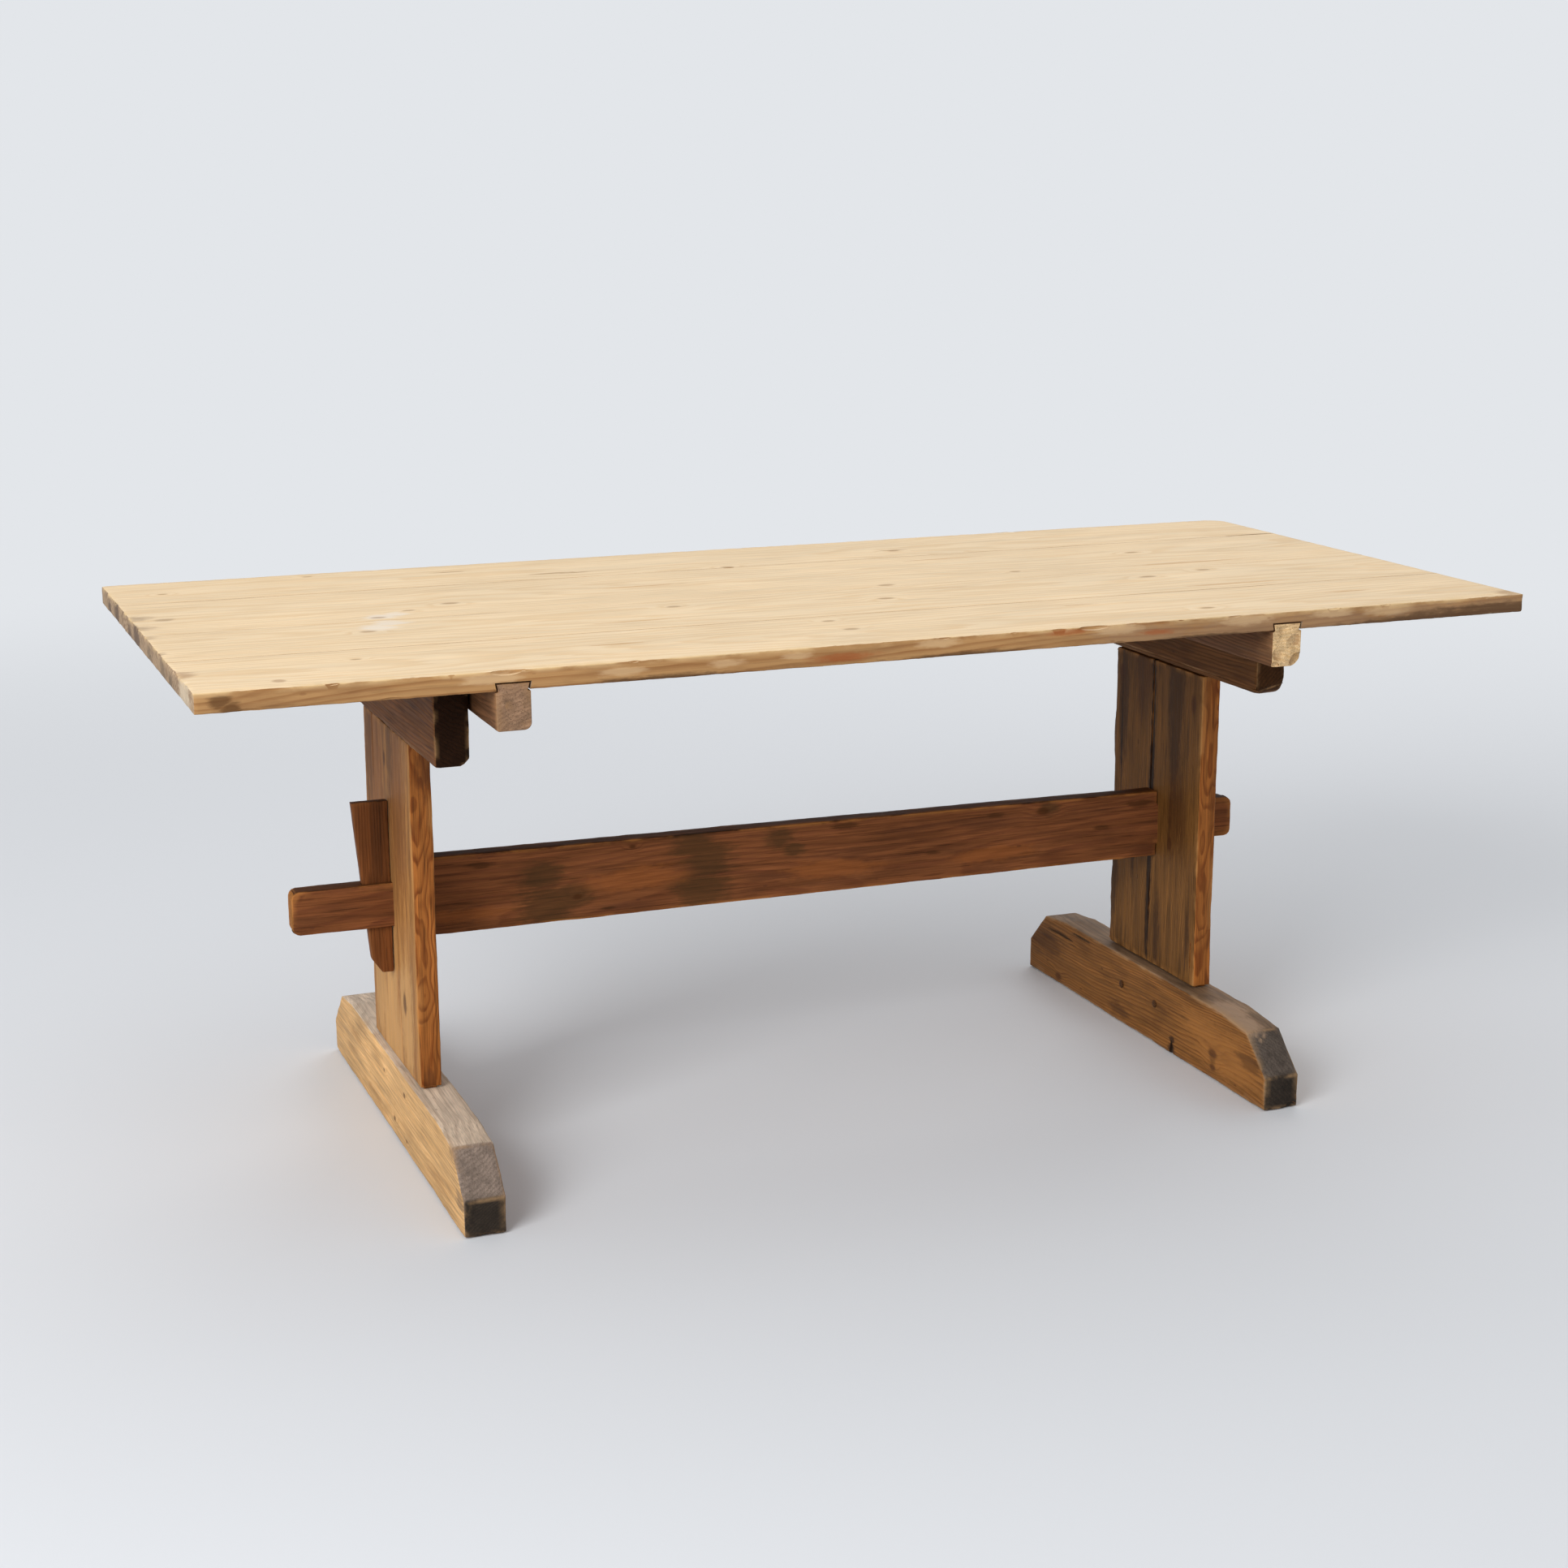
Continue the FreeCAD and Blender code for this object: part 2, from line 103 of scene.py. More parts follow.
def ease(width, profile=0.6, belongs=lambda edge: True, state=lambda place: RUBBED):
    """Rounds the sharp arrises that belong, and marks the new faces as plain, rubbed or broken."""
    mesh = bpy.context.object.data
    shape = bmesh.from_edit_mesh(mesh)
    if not shape.faces.layers.int.get("arris"):
        shape.faces.layers.int.new("arris")
    flats = [face.normal.copy() for face in shape.faces]
    pick("EDGE", lambda edge: edge.calc_face_angle(0) > SHARP_ANGLE and belongs(edge))
    bpy.ops.mesh.bevel(offset=width, segments=ARRIS_FACES, profile=profile, affect="EDGES")
    shape = bmesh.from_edit_mesh(mesh)
    arris = shape.faces.layers.int["arris"]
    for face in shape.faces:
        if face.select and all(face.normal.angle(flat, 0) > FLAT_ANGLE for flat in flats):
            face[arris] = state(face.calc_center_median())
    bmesh.update_edit_mesh(mesh)


def rule(axis, step, low=-math.inf, high=math.inf):
    """Divides the edges that run along an axis, between two places on it, into lengths of about a step."""
    def runs_along(edge):
        start, end = sorted(corner.co[axis] for corner in edge.verts)
        between = start > low - CUT_MARGIN and end < high + CUT_MARGIN
        return between and end - start > max(SHORTEST_CUT, edge.calc_length() / 2)

    cuts = 1
    while cuts:
        pick("EDGE", runs_along)
        shape = bmesh.from_edit_mesh(bpy.context.object.data)
        longest = max((edge.calc_length() for edge in shape.edges if edge.select), default=step)
        cuts = min(round(longest / step) - 1, MOST_CUTS)
        if cuts:
            bpy.ops.mesh.subdivide(number_cuts=cuts)


def mark_arrises(piece):
    """Leaves edit mode, and writes how much of an arris each vertex is, for the wear and for the colour."""
    bpy.ops.object.mode_set(mode="OBJECT")
    mesh = piece.data
    states = [mark.value for mark in mesh.attributes["arris"].data]
    around = [[] for _ in mesh.vertices]
    for face in mesh.polygons:
        for corner in face.vertices:
            around[corner].append(states[face.index])
    rubbed = mesh.attributes.new("rubbed", "FLOAT", "POINT")
    rubbed.data.foreach_set("value", [marks.count(RUBBED) / len(marks) for marks in around])
    group = piece.vertex_groups.new(name="arris")
    for corner, marks in enumerate(around):
        if any(marks):
            group.add([corner], 1 - marks.count(PLAIN) / len(marks), "REPLACE")


def weather(piece, spread, depth, where="", contrast=1.0):
    """Takes wood away unevenly, in hollows of about a spread and at most a depth."""
    hollows = bpy.data.textures.new(f"{piece.name}_hollows", "CLOUDS")
    hollows.noise_scale = spread
    hollows.noise_depth = 3
    hollows.contrast = contrast
    hollows.use_clamp = True
    worn = piece.modifiers.new("worn", "DISPLACE")
    worn.texture = hollows
    worn.texture_coords = "LOCAL"
    worn.strength = -depth
    worn.mid_level = 0
    worn.vertex_group = where
    bpy.ops.object.modifier_apply(modifier=worn.name)


def carve(piece, cutter):
    """Cuts one piece's shape out of another, and throws the cutter away."""
    bpy.ops.object.select_all(action="DESELECT")
    bpy.context.view_layer.objects.active = piece
    piece.select_set(True)
    chisel = piece.modifiers.new("chisel", "BOOLEAN")
    chisel.operation = "DIFFERENCE"
    chisel.solver = "EXACT"
    chisel.use_hole_tolerant = True
    chisel.object = cutter
    bpy.ops.object.modifier_apply(modifier=chisel.name)
    bpy.data.objects.remove(cutter)


def gouge(piece, hollows):
    """Cracks and chips: lens-shaped hollows, each round a point and reaching so far from it each way."""
    lenses = []
    for middle, reach in hollows:
        bpy.ops.object.select_all(action="DESELECT")
        bpy.ops.mesh.primitive_uv_sphere_add(
            segments=20, ring_count=20, radius=1, location=middle, scale=reach)
        bpy.ops.object.transform_apply(location=True, rotation=True, scale=True)
        lenses.append(bpy.context.object)
        wander = bpy.data.textures.new(f"{piece.name}_crack", "CLOUDS")
        wander.noise_scale = max(reach)
        crooked = lenses[-1].modifiers.new("crooked", "DISPLACE")
        crooked.texture = wander
        crooked.texture_coords = "LOCAL"
        crooked.direction = "RGB_TO_XYZ"
        crooked.strength = CROOKEDNESS * min(reach)
        bpy.ops.object.modifier_apply(modifier=crooked.name)
    if len(lenses) > 1:
        for lens in lenses:
            lens.select_set(True)
        bpy.ops.object.join()
    carve(piece, lenses[-1])


def measured(hollows):
    """The same hollows, given in millimetres."""
    return [(Vector(middle) * MM, Vector(reach) * MM) for middle, reach in hollows]


def settle(piece, material, body, slot, *nodes):
    """Finishes a piece: smooth faces, its material, the body that it rides on and the nodes it stands for."""
    bpy.ops.object.select_all(action="DESELECT")
    bpy.context.view_layer.objects.active = piece
    piece.select_set(True)
    bpy.ops.object.shade_smooth_by_angle(angle=SMOOTH_ANGLE)
    piece.data.materials.clear()
    piece.data.materials.append(material)
    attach(piece, body)
    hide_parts(*nodes)


def linear(hex_code):
    """An sRGB hex colour as linear red, green, blue and alpha."""
    shares = [int(hex_code[place:place + 2], 16) / 255 for place in (0, 2, 4)]
    return [*(c / 12.92 if c <= 0.04045 else ((c + 0.055) / 1.055) ** 2.4 for c in shares), 1.0]


def add(tree, kind, inputs, out=0, stops=(), **settings):
    """Adds a shader node with its settings, sets or links its inputs, and returns one of its outputs."""
    node = tree.nodes.new(f"ShaderNode{kind}")
    for name, value in settings.items():
        setattr(node, name, value)
    for socket, value in inputs.items() if isinstance(inputs, dict) else enumerate(inputs):
        if isinstance(value, bpy.types.NodeSocket):
            tree.links.new(value, node.inputs[socket])
        else:
            node.inputs[socket].default_value = value
    for number, (place, grey) in enumerate(stops):
        ramp = node.color_ramp.elements
        stop = ramp[number] if number < 2 else ramp.new(place)
        stop.position = place
        stop.color = (grey, grey, grey, 1)
    return node.outputs[out]


def nearest(tree, spot, marks, along, stretch):
    """How near the closest mark is, in its own radii. Marks are (x, y, z, radius) in millimetres, and are
    drawn out along the grain."""
    squeeze = [1.0, 1.0, 1.0]
    squeeze[along] = stretch
    flat = add(tree, "VectorMath", (spot, squeeze), operation="MULTIPLY")
    best = None
    for *middle, radius in marks:
        centre = [value * MM * share for value, share in zip(middle, squeeze)]
        gap = add(tree, "VectorMath", (flat, centre), "Value", operation="DISTANCE")
        near = add(tree, "Math", (gap, radius * MM), operation="DIVIDE")
        if best is not None:
            near = add(tree, "Math", (best, near), operation="MINIMUM")
        best = near
    return best


def grain_cells(along, long, short):
    """How many of a pattern's cells go into a metre, long along the grain and short across it."""
    counts = [1 / (short * MM)] * 3
    counts[along] = 1 / (long * MM)
    return counts


# Millimetres along and across the grain, and detail, of what varies in old pine. Real fibres and dirt lines
# are some 0.1 mm wide, too fine to show, so they are drawn at about two millimetres.
PINE_PATTERNS = {
    "fibres": (140, 1.6, 4.0),
    "lines": (80, 2.2, 3.0),
    "mottle": (130, 9, 4.0),
    "tone": (260, 80, 4.0),
    "lumps": (60, 25, 5.0),
    "grime": (120, 20, 9.0),
    "flecks": (16, 5, 6.0),
}
# How the trunk bends and each ring wavers: over what length along and across the grain, and how far
TRUNK_SWAYS = ((600, 110, 60), (90, 12, 5))
MEAN_NOISE = (0.5, 0.5, 0.5)
# Along one ring pale early wood darkens into late wood and ends at once: place and share of late wood
RING_STOPS = ((0, 0.1), (0.4, 0.12), (0.8, 1), (0.92, 0.9), (1, 0.2))
PIT_LENGTH, PIT_GAP = 60, 22
# A MapRange node turns a pattern or a gap that goes from the first number to the second into a share that
# goes from the third to the fourth. A span has only the first two.
KNOT_SWELL = (4.0, 0.5, 0.0, 8.0)
TONE_FACING = (0.4, 0.7, 0.0, 1.0)
STAIN_AND_SHADE_FACING = (0.1, 0.5, 0.0, 1.0)
RING_FADE = (0.3, 0.7, 0.45, 1.0)
GRIME_SHARE = (0.47, 0.72, 0.0, 0.5)
SHADE_SPAN, LINE_SPAN = (0.28, 0.72), (0.56, 0.66)
STAIN_AND_SHADE_SPAN, KNOT_SPAN, PIT_SPAN = (3.2, 2.4), (1.6, 0.8), (0.09, 0.05)
RUBBED_SPAN, SHEEN_SPAN = (0.4, 0.62), (0.2, 0.8)
# How far each pattern frays the edge of a layer, stain and painted shade alike, in the layer's own radii
STAIN_AND_SHADE_FRAY = {"mottle": 0.9, "grime": 1.2, "fibres": 0.5, "flecks": 1.2}
KNOT_STRETCH, KNOT_FRAY = 0.55, 0.5
PIT_SHARE = 0.8
FIBRE_HEIGHT = 1.2
SMOOTHER, ROUGHER = 0.1, 0.12
WOOD_IOR = 1.5
SMOOTH = {"interpolation_type": "SMOOTHSTEP"}
# A Mix node's sockets for numbers and for colours share their names, so these go by number
COLOURS = {"out": 2, "data_type": "RGBA"}
SHARE, UNDER, OVER = 0, 6, 7


def aged_pine(name, along, pith, tilt, ring_gap, tones, knots=(), layers=(), sways=TRUNK_SWAYS,
              knot="4A2A14", knot_share=0.75, worn="B98A55", wear_share=0.7, streaks=0.24, blotches=0.2,
              lines=0.4, relief=0.25, roughness=0.6, specular=0.12):
    """Old pine with growth rings round a pith line. Tones are (direction, early wood, late wood, dirt), where
    the first has no direction and the others hold where the surface faces theirs. Layers are (colour,
    greatest share, stretch along the grain, direction that the coloured face looks or None, marks); they
    hold stains, and on some pieces painted shade. Sizes are in millimetres."""
    material = bpy.data.materials.new(name)
    material.use_nodes = True
    tree = material.node_tree
    shader = tree.nodes["Principled BSDF"]
    spot = add(tree, "TexCoord", {}, "Object")
    normal = add(tree, "TexCoord", {}, "Normal")
    patterns = {}
    for label, (long, short, detail) in PINE_PATTERNS.items():
        place = add(tree, "Mapping", {"Vector": spot, "Scale": grain_cells(along, long, short)})
        inputs = {"Vector": place, "Scale": 1.0, "Detail": detail, "Roughness": 0.55}
        patterns[label] = add(tree, "TexNoise", inputs)

    bent = spot
    for long, short, reach in sways:
        place = add(tree, "Mapping", {"Vector": spot, "Scale": grain_cells(along, long, short)})
        bends = add(tree, "TexNoise", {"Vector": place, "Scale": 1.0, "Detail": 1.0}, "Color")
        sway = add(tree, "VectorMath", (bends, MEAN_NOISE), operation="SUBTRACT")
        bent = add(tree, "VectorMath", (sway, [reach * MM] * 3, bent), operation="MULTIPLY_ADD")
    centre = [-value * MM for value in pith]
    turn = [math.radians(value) for value in tilt]
    trunk = add(tree, "Mapping", {"Vector": bent, "Location": centre, "Rotation": turn})
    swell = 0.0
    if knots:
        knot_gap = nearest(tree, spot, knots, along, KNOT_STRETCH)
        swell = add(tree, "MapRange", (knot_gap, *KNOT_SWELL), **SMOOTH)
    # One turn of the rings pattern is pi / 10 of its own unit
    turns = math.pi / 10 / (ring_gap * MM)
    inputs = {"Vector": trunk, "Scale": turns, "Distortion": 0.0, "Phase Offset": swell}
    rings = add(tree, "TexWave", inputs, "Fac", wave_type="RINGS", rings_direction="XYZ"[along],
                wave_profile="SAW")
    late = add(tree, "ValToRGB", (rings,), stops=RING_STOPS)

    early_late_dirt = [linear(code) for code in tones[0][1:]]
    for direction, *codes in tones[1:]:
        towards = add(tree, "VectorMath", (normal, direction), "Value", operation="DOT_PRODUCT")
        share = add(tree, "MapRange", (towards, *TONE_FACING), **SMOOTH)
        early_late_dirt = [add(tree, "Mix", {SHARE: share, UNDER: colour, OVER: linear(code)}, **COLOURS)
                           for colour, code in zip(early_late_dirt, codes)]
    early_colour, late_colour, dirt_colour = early_late_dirt
    # The rings fade in and out along the plank, as the plane met them
    fade = add(tree, "MapRange", (patterns["mottle"], *RING_FADE), **SMOOTH)
    share = add(tree, "Math", (late, fade), operation="MULTIPLY")
    colour = add(tree, "Mix", {SHARE: share, UNDER: early_colour, OVER: late_colour}, **COLOURS)
    share = add(tree, "MapRange", (patterns["grime"], *GRIME_SHARE), **SMOOTH)
    colour = add(tree, "Mix", {SHARE: share, UNDER: colour, OVER: dirt_colour}, **COLOURS)
    for label, *span in (
            ("fibres", *SHADE_SPAN, 1 - streaks, 1 + streaks / 2),
            ("mottle", *SHADE_SPAN, 1 - streaks, 1 + streaks / 2),
            ("tone", *SHADE_SPAN, 1 - blotches, 1 + blotches / 2),
            ("lines", *LINE_SPAN, 1.0, 1 - lines)):
        shade = add(tree, "MapRange", (patterns[label], *span), **SMOOTH)
        inputs = {SHARE: 1.0, UNDER: colour, OVER: shade}
        colour = add(tree, "Mix", inputs, blend_type="MULTIPLY", **COLOURS)
    # Layers: stains, and on some pieces painted shade
    for code, most, stretch, facing, marks in layers:
        gap = nearest(tree, spot, marks, along, stretch)
        for label, reach in STAIN_AND_SHADE_FRAY.items():
            gap = add(tree, "Math", (patterns[label], reach, gap), operation="MULTIPLY_ADD")
        share = add(tree, "MapRange", (gap, *STAIN_AND_SHADE_SPAN, 0.0, most), **SMOOTH)
        if facing:
            towards = add(tree, "VectorMath", (normal, facing), "Value", operation="DOT_PRODUCT")
            turned = add(tree, "MapRange", (towards, *STAIN_AND_SHADE_FACING), **SMOOTH)
            share = add(tree, "Math", (share, turned), operation="MULTIPLY")
        colour = add(tree, "Mix", {SHARE: share, UNDER: colour, OVER: linear(code)}, **COLOURS)
    if knots:
        rim = add(tree, "Math", (patterns["fibres"], KNOT_FRAY, knot_gap), operation="MULTIPLY_ADD")
        share = add(tree, "MapRange", (rim, *KNOT_SPAN, 0.0, knot_share), **SMOOTH)
        colour = add(tree, "Mix", {SHARE: share, UNDER: colour, OVER: linear(knot)}, **COLOURS)
    place = add(tree, "Mapping", {"Vector": spot, "Scale": grain_cells(along, PIT_LENGTH, PIT_GAP)})
    pits = add(tree, "TexVoronoi", {"Vector": place, "Scale": 1.0})
    share = add(tree, "MapRange", (pits, *PIT_SPAN, 0.0, PIT_SHARE * knot_share), **SMOOTH)
    colour = add(tree, "Mix", {SHARE: share, UNDER: colour, OVER: dirt_colour}, **COLOURS)
    rubbed = add(tree, "Attribute", {}, "Fac", attribute_name="rubbed")
    share = add(tree, "MapRange", (patterns["lumps"], *RUBBED_SPAN, 0.0, wear_share), **SMOOTH)
    share = add(tree, "Math", (rubbed, share), operation="MULTIPLY")
    colour = add(tree, "Mix", {SHARE: share, UNDER: colour, OVER: linear(worn)}, **COLOURS)
    tree.links.new(colour, shader.inputs["Base Color"])

    # Soft early wood wears lower than the late wood, and fibres stand up between
    height = add(tree, "Math", (patterns["fibres"], FIBRE_HEIGHT, late), operation="MULTIPLY_ADD")
    bump = add(tree, "Bump", {"Height": height, "Strength": 0.6, "Distance": relief * MM})
    tree.links.new(bump, shader.inputs["Normal"])
    inputs = (patterns["fibres"], *SHEEN_SPAN, roughness - SMOOTHER, roughness + ROUGHER)
    sheen = add(tree, "MapRange", inputs, **SMOOTH)
    tree.links.new(sheen, shader.inputs["Roughness"])
    shader.inputs["IOR"].default_value = WOOD_IOR
    shader.inputs["Specular IOR Level"].default_value = specular
    return material


FOOT_NOSE_HEIGHT = 50 * MM
FOOT_SLOPE_RUN = 56 * MM
FOOT_SHOULDER_DROP = 8 * MM
FOOT_CROWN_RUN = 128 * MM
# Directions that pick out the toes' sloped tops, and then their upright ends
FRONT_SLOPE, BACK_SLOPE = (0, -0.9, 0.3), (0, 0.9, 0.3)
FRONT_END, BACK_END = (0, -0.75, -0.1), (0, 0.75, -0.1)
FOOT_CROWNS = {"left": ("DCC7AF", "C8B29C", "9E8A78"), "right": ("92765A", "7C624A", "5C4634")}
FOOT_TOES = {"left": ("958376", "827266", "6A5C50"), "right": ("62574E", "544A42", "3C342D")}
FOOT_END_GRAIN = ("382F27", "2E2720", "201A15")
FOOT_LINES = {"left": 0.2, "right": 0.28}
FOOT_KNOTS = {
    "left": [(-614, -73, 84, 4), (-614, -5, 27, 4), (-614, -76, 18, 3), (-614, 52, 79, 3),
             (-556, 150, 60, 7)],
    "right": [(556, -227, 41, 7), (556, -228, 20, 5), (556, 267, 13, 6), (614, 90, 50, 6)],
}
FOOT_LAYERS = {
    "left": [
        ("8A6238", 0.3, 0.2, LEFTWARD, [(-614, -250, 30, 12), (-614, 120, 20, 10), (-614, 240, 70, 9)]),
        ("6E5A48", 0.6, 0.5, LEFTWARD, [(-614, -372, 46, 12), (-614, -340, 98, 10)])],
    "right": [
        ("2E1C10", 0.85, 0.8, None, [(556, -107, 10, 9), (556, -108, 24, 6), (556, -227, 32, 7)]),
        ("3A2412", 0.7, 0.1, None, [
            (556, 260, 88, 3), (556, 190, 99, 3), (556, 300, 70, 3), (556, 215, 80, 2)]),
        ("A87038", 0.5, 0.4, LEFTWARD, [(556, -270, 50, 34), (556, -200, 70, 24)]),
        ("B4967A", 0.6, 0.6, UPWARD, [(575, -240, 110, 26), (570, -290, 105, 22)]),
        ("4E3018", 0.6, 0.35, LEFTWARD, [(556, 330, 60, 26), (556, 60, 20, 12), (556, -330, 60, 14)])],
}
FOOT_CHIPS = {
    "left": [((-556, -340, 104), (5, 14, 4)), ((-585, -391, 0), (16, 5, 6))],
    "right": [((556, -107, 6), (8, 5, 16)), ((556, 262, 86), (10, 46, 2)), ((556, 190, 100), (8, 30, 1.6)),
              ((600, -372, 2), (14, 5, 8))],
}
for side, outward in SIDES:
    low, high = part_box(f"{side}_foot")
    foot = rough_block(f"{side}_foot_beam", low, high)
    stations = [low.y, high.y]
    for end, toe in ((1, low.y), (-1, high.y)):
        slope, crown = toe + end * FOOT_SLOPE_RUN, toe + end * FOOT_CROWN_RUN
        stations += [slope, crown]
        cut(Y, slope)
        cut(Y, crown)
        nose_drop = high.z - FOOT_NOSE_HEIGHT
        shift((0, 0, -nose_drop), lambda place: at(place, Y, toe) and at(place, Z, high.z))
        shift((0, 0, -FOOT_SHOULDER_DROP), lambda place: at(place, Y, slope) and at(place, Z, high.z))
    stations.sort()
    ease(width=5 * MM)
    rule(X, step=8 * MM)
    rule(Z, step=8 * MM)
    for start, end in zip(stations, stations[1:]):
        rule(Y, step=6 * MM, low=start, high=end)
    mark_arrises(foot)
    weather(foot, spread=140 * MM, depth=2 * MM)
    weather(foot, spread=22 * MM, depth=1.2 * MM, where="arris", contrast=1.6)
    weather(foot, spread=9 * MM, depth=0.4 * MM)
    gouge(foot, measured(FOOT_CHIPS[side]))
    # Old pine, planed once and never painted: the outer cheeks have bleached to ochre, the inner ones kept
    # their brown, dust has greyed the top and the end grain of the toes is nearly black
    material = aged_pine(
        f"aged_planed_pine_{side}_foot", along=Y, pith=(outward * 520, 0, -60), tilt=(0.6, 0, 0.8),
        ring_gap=4.5, knots=FOOT_KNOTS[side], layers=FOOT_LAYERS[side], worn="B08C64", wear_share=0.5,
        lines=FOOT_LINES[side],
        tones=[(None, "9C6833", "74471F", "4E2F16"),
               ((outward, 0, 0), "E0B47C", "D2A268", "BE905A"),
               (UPWARD, *FOOT_CROWNS[side]),
               (FRONT_SLOPE, *FOOT_TOES[side]),
               (BACK_SLOPE, *FOOT_TOES[side]),
               (FRONT_END, *FOOT_END_GRAIN),
               (BACK_END, *FOOT_END_GRAIN)])
    settle(foot, material, "trestle_frame", "aged_pine", f"{side}_foot")


# Uprights
# Each upright is one wide sawn plank on end, tenoned into its foot below and its bearer above. It is as old
# as the feet: drying has split it along the grain, and the right one still has its waney back edge.
UPRIGHT_EMBED = 12 * MM
SHOULDER_GAP = 0.6 * MM
WANE_BAND = 10 * MM
# How far the outer front arris is rubbed away, at three heights
UPRIGHT_RUBBED = ((200 * MM, 3 * MM), (330 * MM, 9 * MM), (470 * MM, 9 * MM))
FLAME_SWAY = (85, 40, 18)
UPRIGHT_KNOTS = {
    "left": [(-605, 10, 537, 6), (-605, -60, 210, 9), (-573, 40, 470, 10)],
    "right": [(573, 106, 550, 8), (573, -110, 541, 8), (573, -52, 315, 7), (605, 20, 240, 10)],
}
UPRIGHT_LAYERS = {
    "left": [
        # Painted light on the lower outer face, then painted shade higher up, where the top shades the
        # upright
        ("CFA065", 0.6, 0.4, LEFTWARD, [(-605, 20, 150, 60), (-605, -70, 190, 40), (-605, 90, 200, 40)]),
        ("7A4A28", 0.6, 0.35, LEFTWARD, [(-605, 70, 520, 60), (-605, -60, 480, 50)]),
        # Dark patches at the head and at the foot joint: partly dirt and partly painted shade between the
        # parts
        ("5A3A20", 0.6, 0.2, LEFTWARD, [(-605, 100, 560, 22), (-605, 118, 480, 12), (-605, -20, 575, 18)]),
        ("54301A", 0.6, 0.3, FORWARD, [(-580, -136, 560, 16), (-590, -136, 120, 8)])],
    "right": [
        ("3A2413", 0.7, 0.12, LEFTWARD, [
            (573, 100, 500, 14), (573, 60, 300, 8), (573, -60, 560, 22), (573, 118, 250, 12),
            (573, -20, 160, 10), (573, -112, 180, 7)]),
        # Painted shade: the inner face darkens from the middle up, under the table top
        ("4A2C16", 0.6, 0.4, LEFTWARD, [(573, -70, 370, 26), (573, 40, 570, 30)]),
        ("24150A", 0.95, 0.02, None, [
            (573, 9, 480, 5), (579, 9, 480, 4), (585, 9, 480, 4), (573, 8, 405, 7), (573, 5, 215, 2.5),
            (573, 104, 440, 2)])],
}
UPRIGHT_CRACKS = {
    "left": [((-605, 78, 545), (14, 1.6, 48))],
    "right": [((573, 9, 480), (16, 2.4, 112)), ((573, 5, 215), (12, 1.6, 42)),
              ((573, -124, 160), (8, 1.8, 22))],
}


def cheeks(low, high, outward):
    """Where a piece's faces towards and away from the table's middle stand."""
    return (low.x, high.x) if outward > 0 else (high.x, low.x)


for side, outward in SIDES:
    foot_top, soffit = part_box(f"{side}_foot")[1].z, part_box(f"{side}_bearer")[0].z
    low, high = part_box(f"{side}_upright")
    low.z, high.z = foot_top + SHOULDER_GAP, soffit - SHOULDER_GAP
    upright = rough_block(f"{side}_upright_plank", low, high)
    _, outer = cheeks(low, high, outward)
    for level, rubbed in UPRIGHT_RUBBED:
        cut(Z, level)
        shift((0, rubbed, 0),
              lambda place: at(place, X, outer) and at(place, Y, low.y) and at(place, Z, level))
    ease(width=3.5 * MM)
    for level, reach in ((low.z, -UPRIGHT_EMBED), (high.z, UPRIGHT_EMBED)):
        pick("FACE", lambda face: at(face.calc_center_median(), Z, level))
        bpy.ops.mesh.inset(thickness=3 * MM, depth=0)
        bpy.ops.mesh.extrude_region_move(TRANSFORM_OT_translate={"value": (0, 0, reach)})
    rule(X, step=8 * MM)
    rule(Y, step=8 * MM)
    levels = [low.z, *(level for level, _ in UPRIGHT_RUBBED), high.z]
    for start, end in zip(levels, levels[1:]):
        rule(Z, step=6 * MM, low=start, high=end)
    mark_arrises(upright)
    back_edge = [corner.index for corner in upright.data.vertices if corner.co.y > high.y - WANE_BAND]
    weather(upright, spread=120 * MM, depth=2 * MM)
    weather(upright, spread=26 * MM, depth=1.0 * MM, where="arris", contrast=1.6)
    if side == "right":
        upright.vertex_groups.new(name="wane").add(back_edge, 1, "REPLACE")
        weather(upright, spread=70 * MM, depth=10 * MM, where="wane")
    gouge(upright, measured(UPRIGHT_CRACKS[side]))
    # Sawn pine browned by age: rings run up the faces and flame on the front edge, which shows one solid
    # plank, and dark splits and rubbed arrises show its years. Painted shade darkens each upright towards its
    # head, under the top; the left one's paler foot is painted light; and the dark patches at the joints are
    # partly dirt and partly painted shade
    material = aged_pine(
        f"aged_sawn_pine_{side}_upright", along=Z, pith=(outward * 594, -175, 0), tilt=(3.0, 0.6, 0),
        ring_gap=3.2, knots=UPRIGHT_KNOTS[side], layers=UPRIGHT_LAYERS[side],
        sways=(*TRUNK_SWAYS, FLAME_SWAY), worn="C08A50", streaks=0.3,
        tones=[(None, "8A5E2E", "5C3A18", "432B10"),
               ((outward, 0, 0), "BC8850", "A06A36", "7E5028"),
               (FORWARD, "AE6A30", "743A14", "8A4E22"),
               (BACKWARD, "8A5630", "643818", "4A2C16")])
    settle(upright, material, "trestle_frame", "aged_pine", f"{side}_upright")


# Bearers
# Each bearer is a short beam across the head of its upright, mortised from below, and carries the top. It
# has never seen the sun, so it stays dark, with thin pale lines where its arrises have rubbed.
BEARER_CHAMFER = 10 * MM
BEARER_NOSE = {"left": 6 * MM, "right": 26 * MM}
BEARER_ENDS = {"left": ("2E1A0D", "24140A", "180D06"), "right": ("4A2E18", "3A2311", "2A190B")}


def score(axis, step):
    """Scores lines right round the piece, about a step apart, so that its flat ends can wear too."""
    places = [corner.co[axis] for corner in bmesh.from_edit_mesh(bpy.context.object.data).verts]
    low, high = min(places), max(places)
    count = round((high - low) / step)
    for number in range(1, count):
        cut(axis, low + (high - low) * number / count)


def chamfer(width, faces, *walls):
    """Cuts back the edge where some walls meet, each given as an axis and its place on it."""
    pick("EDGE", lambda edge: all(at(end.co, *wall) for end in edge.verts for wall in walls))
    bpy.ops.mesh.bevel(offset=width, segments=faces, affect="EDGES")


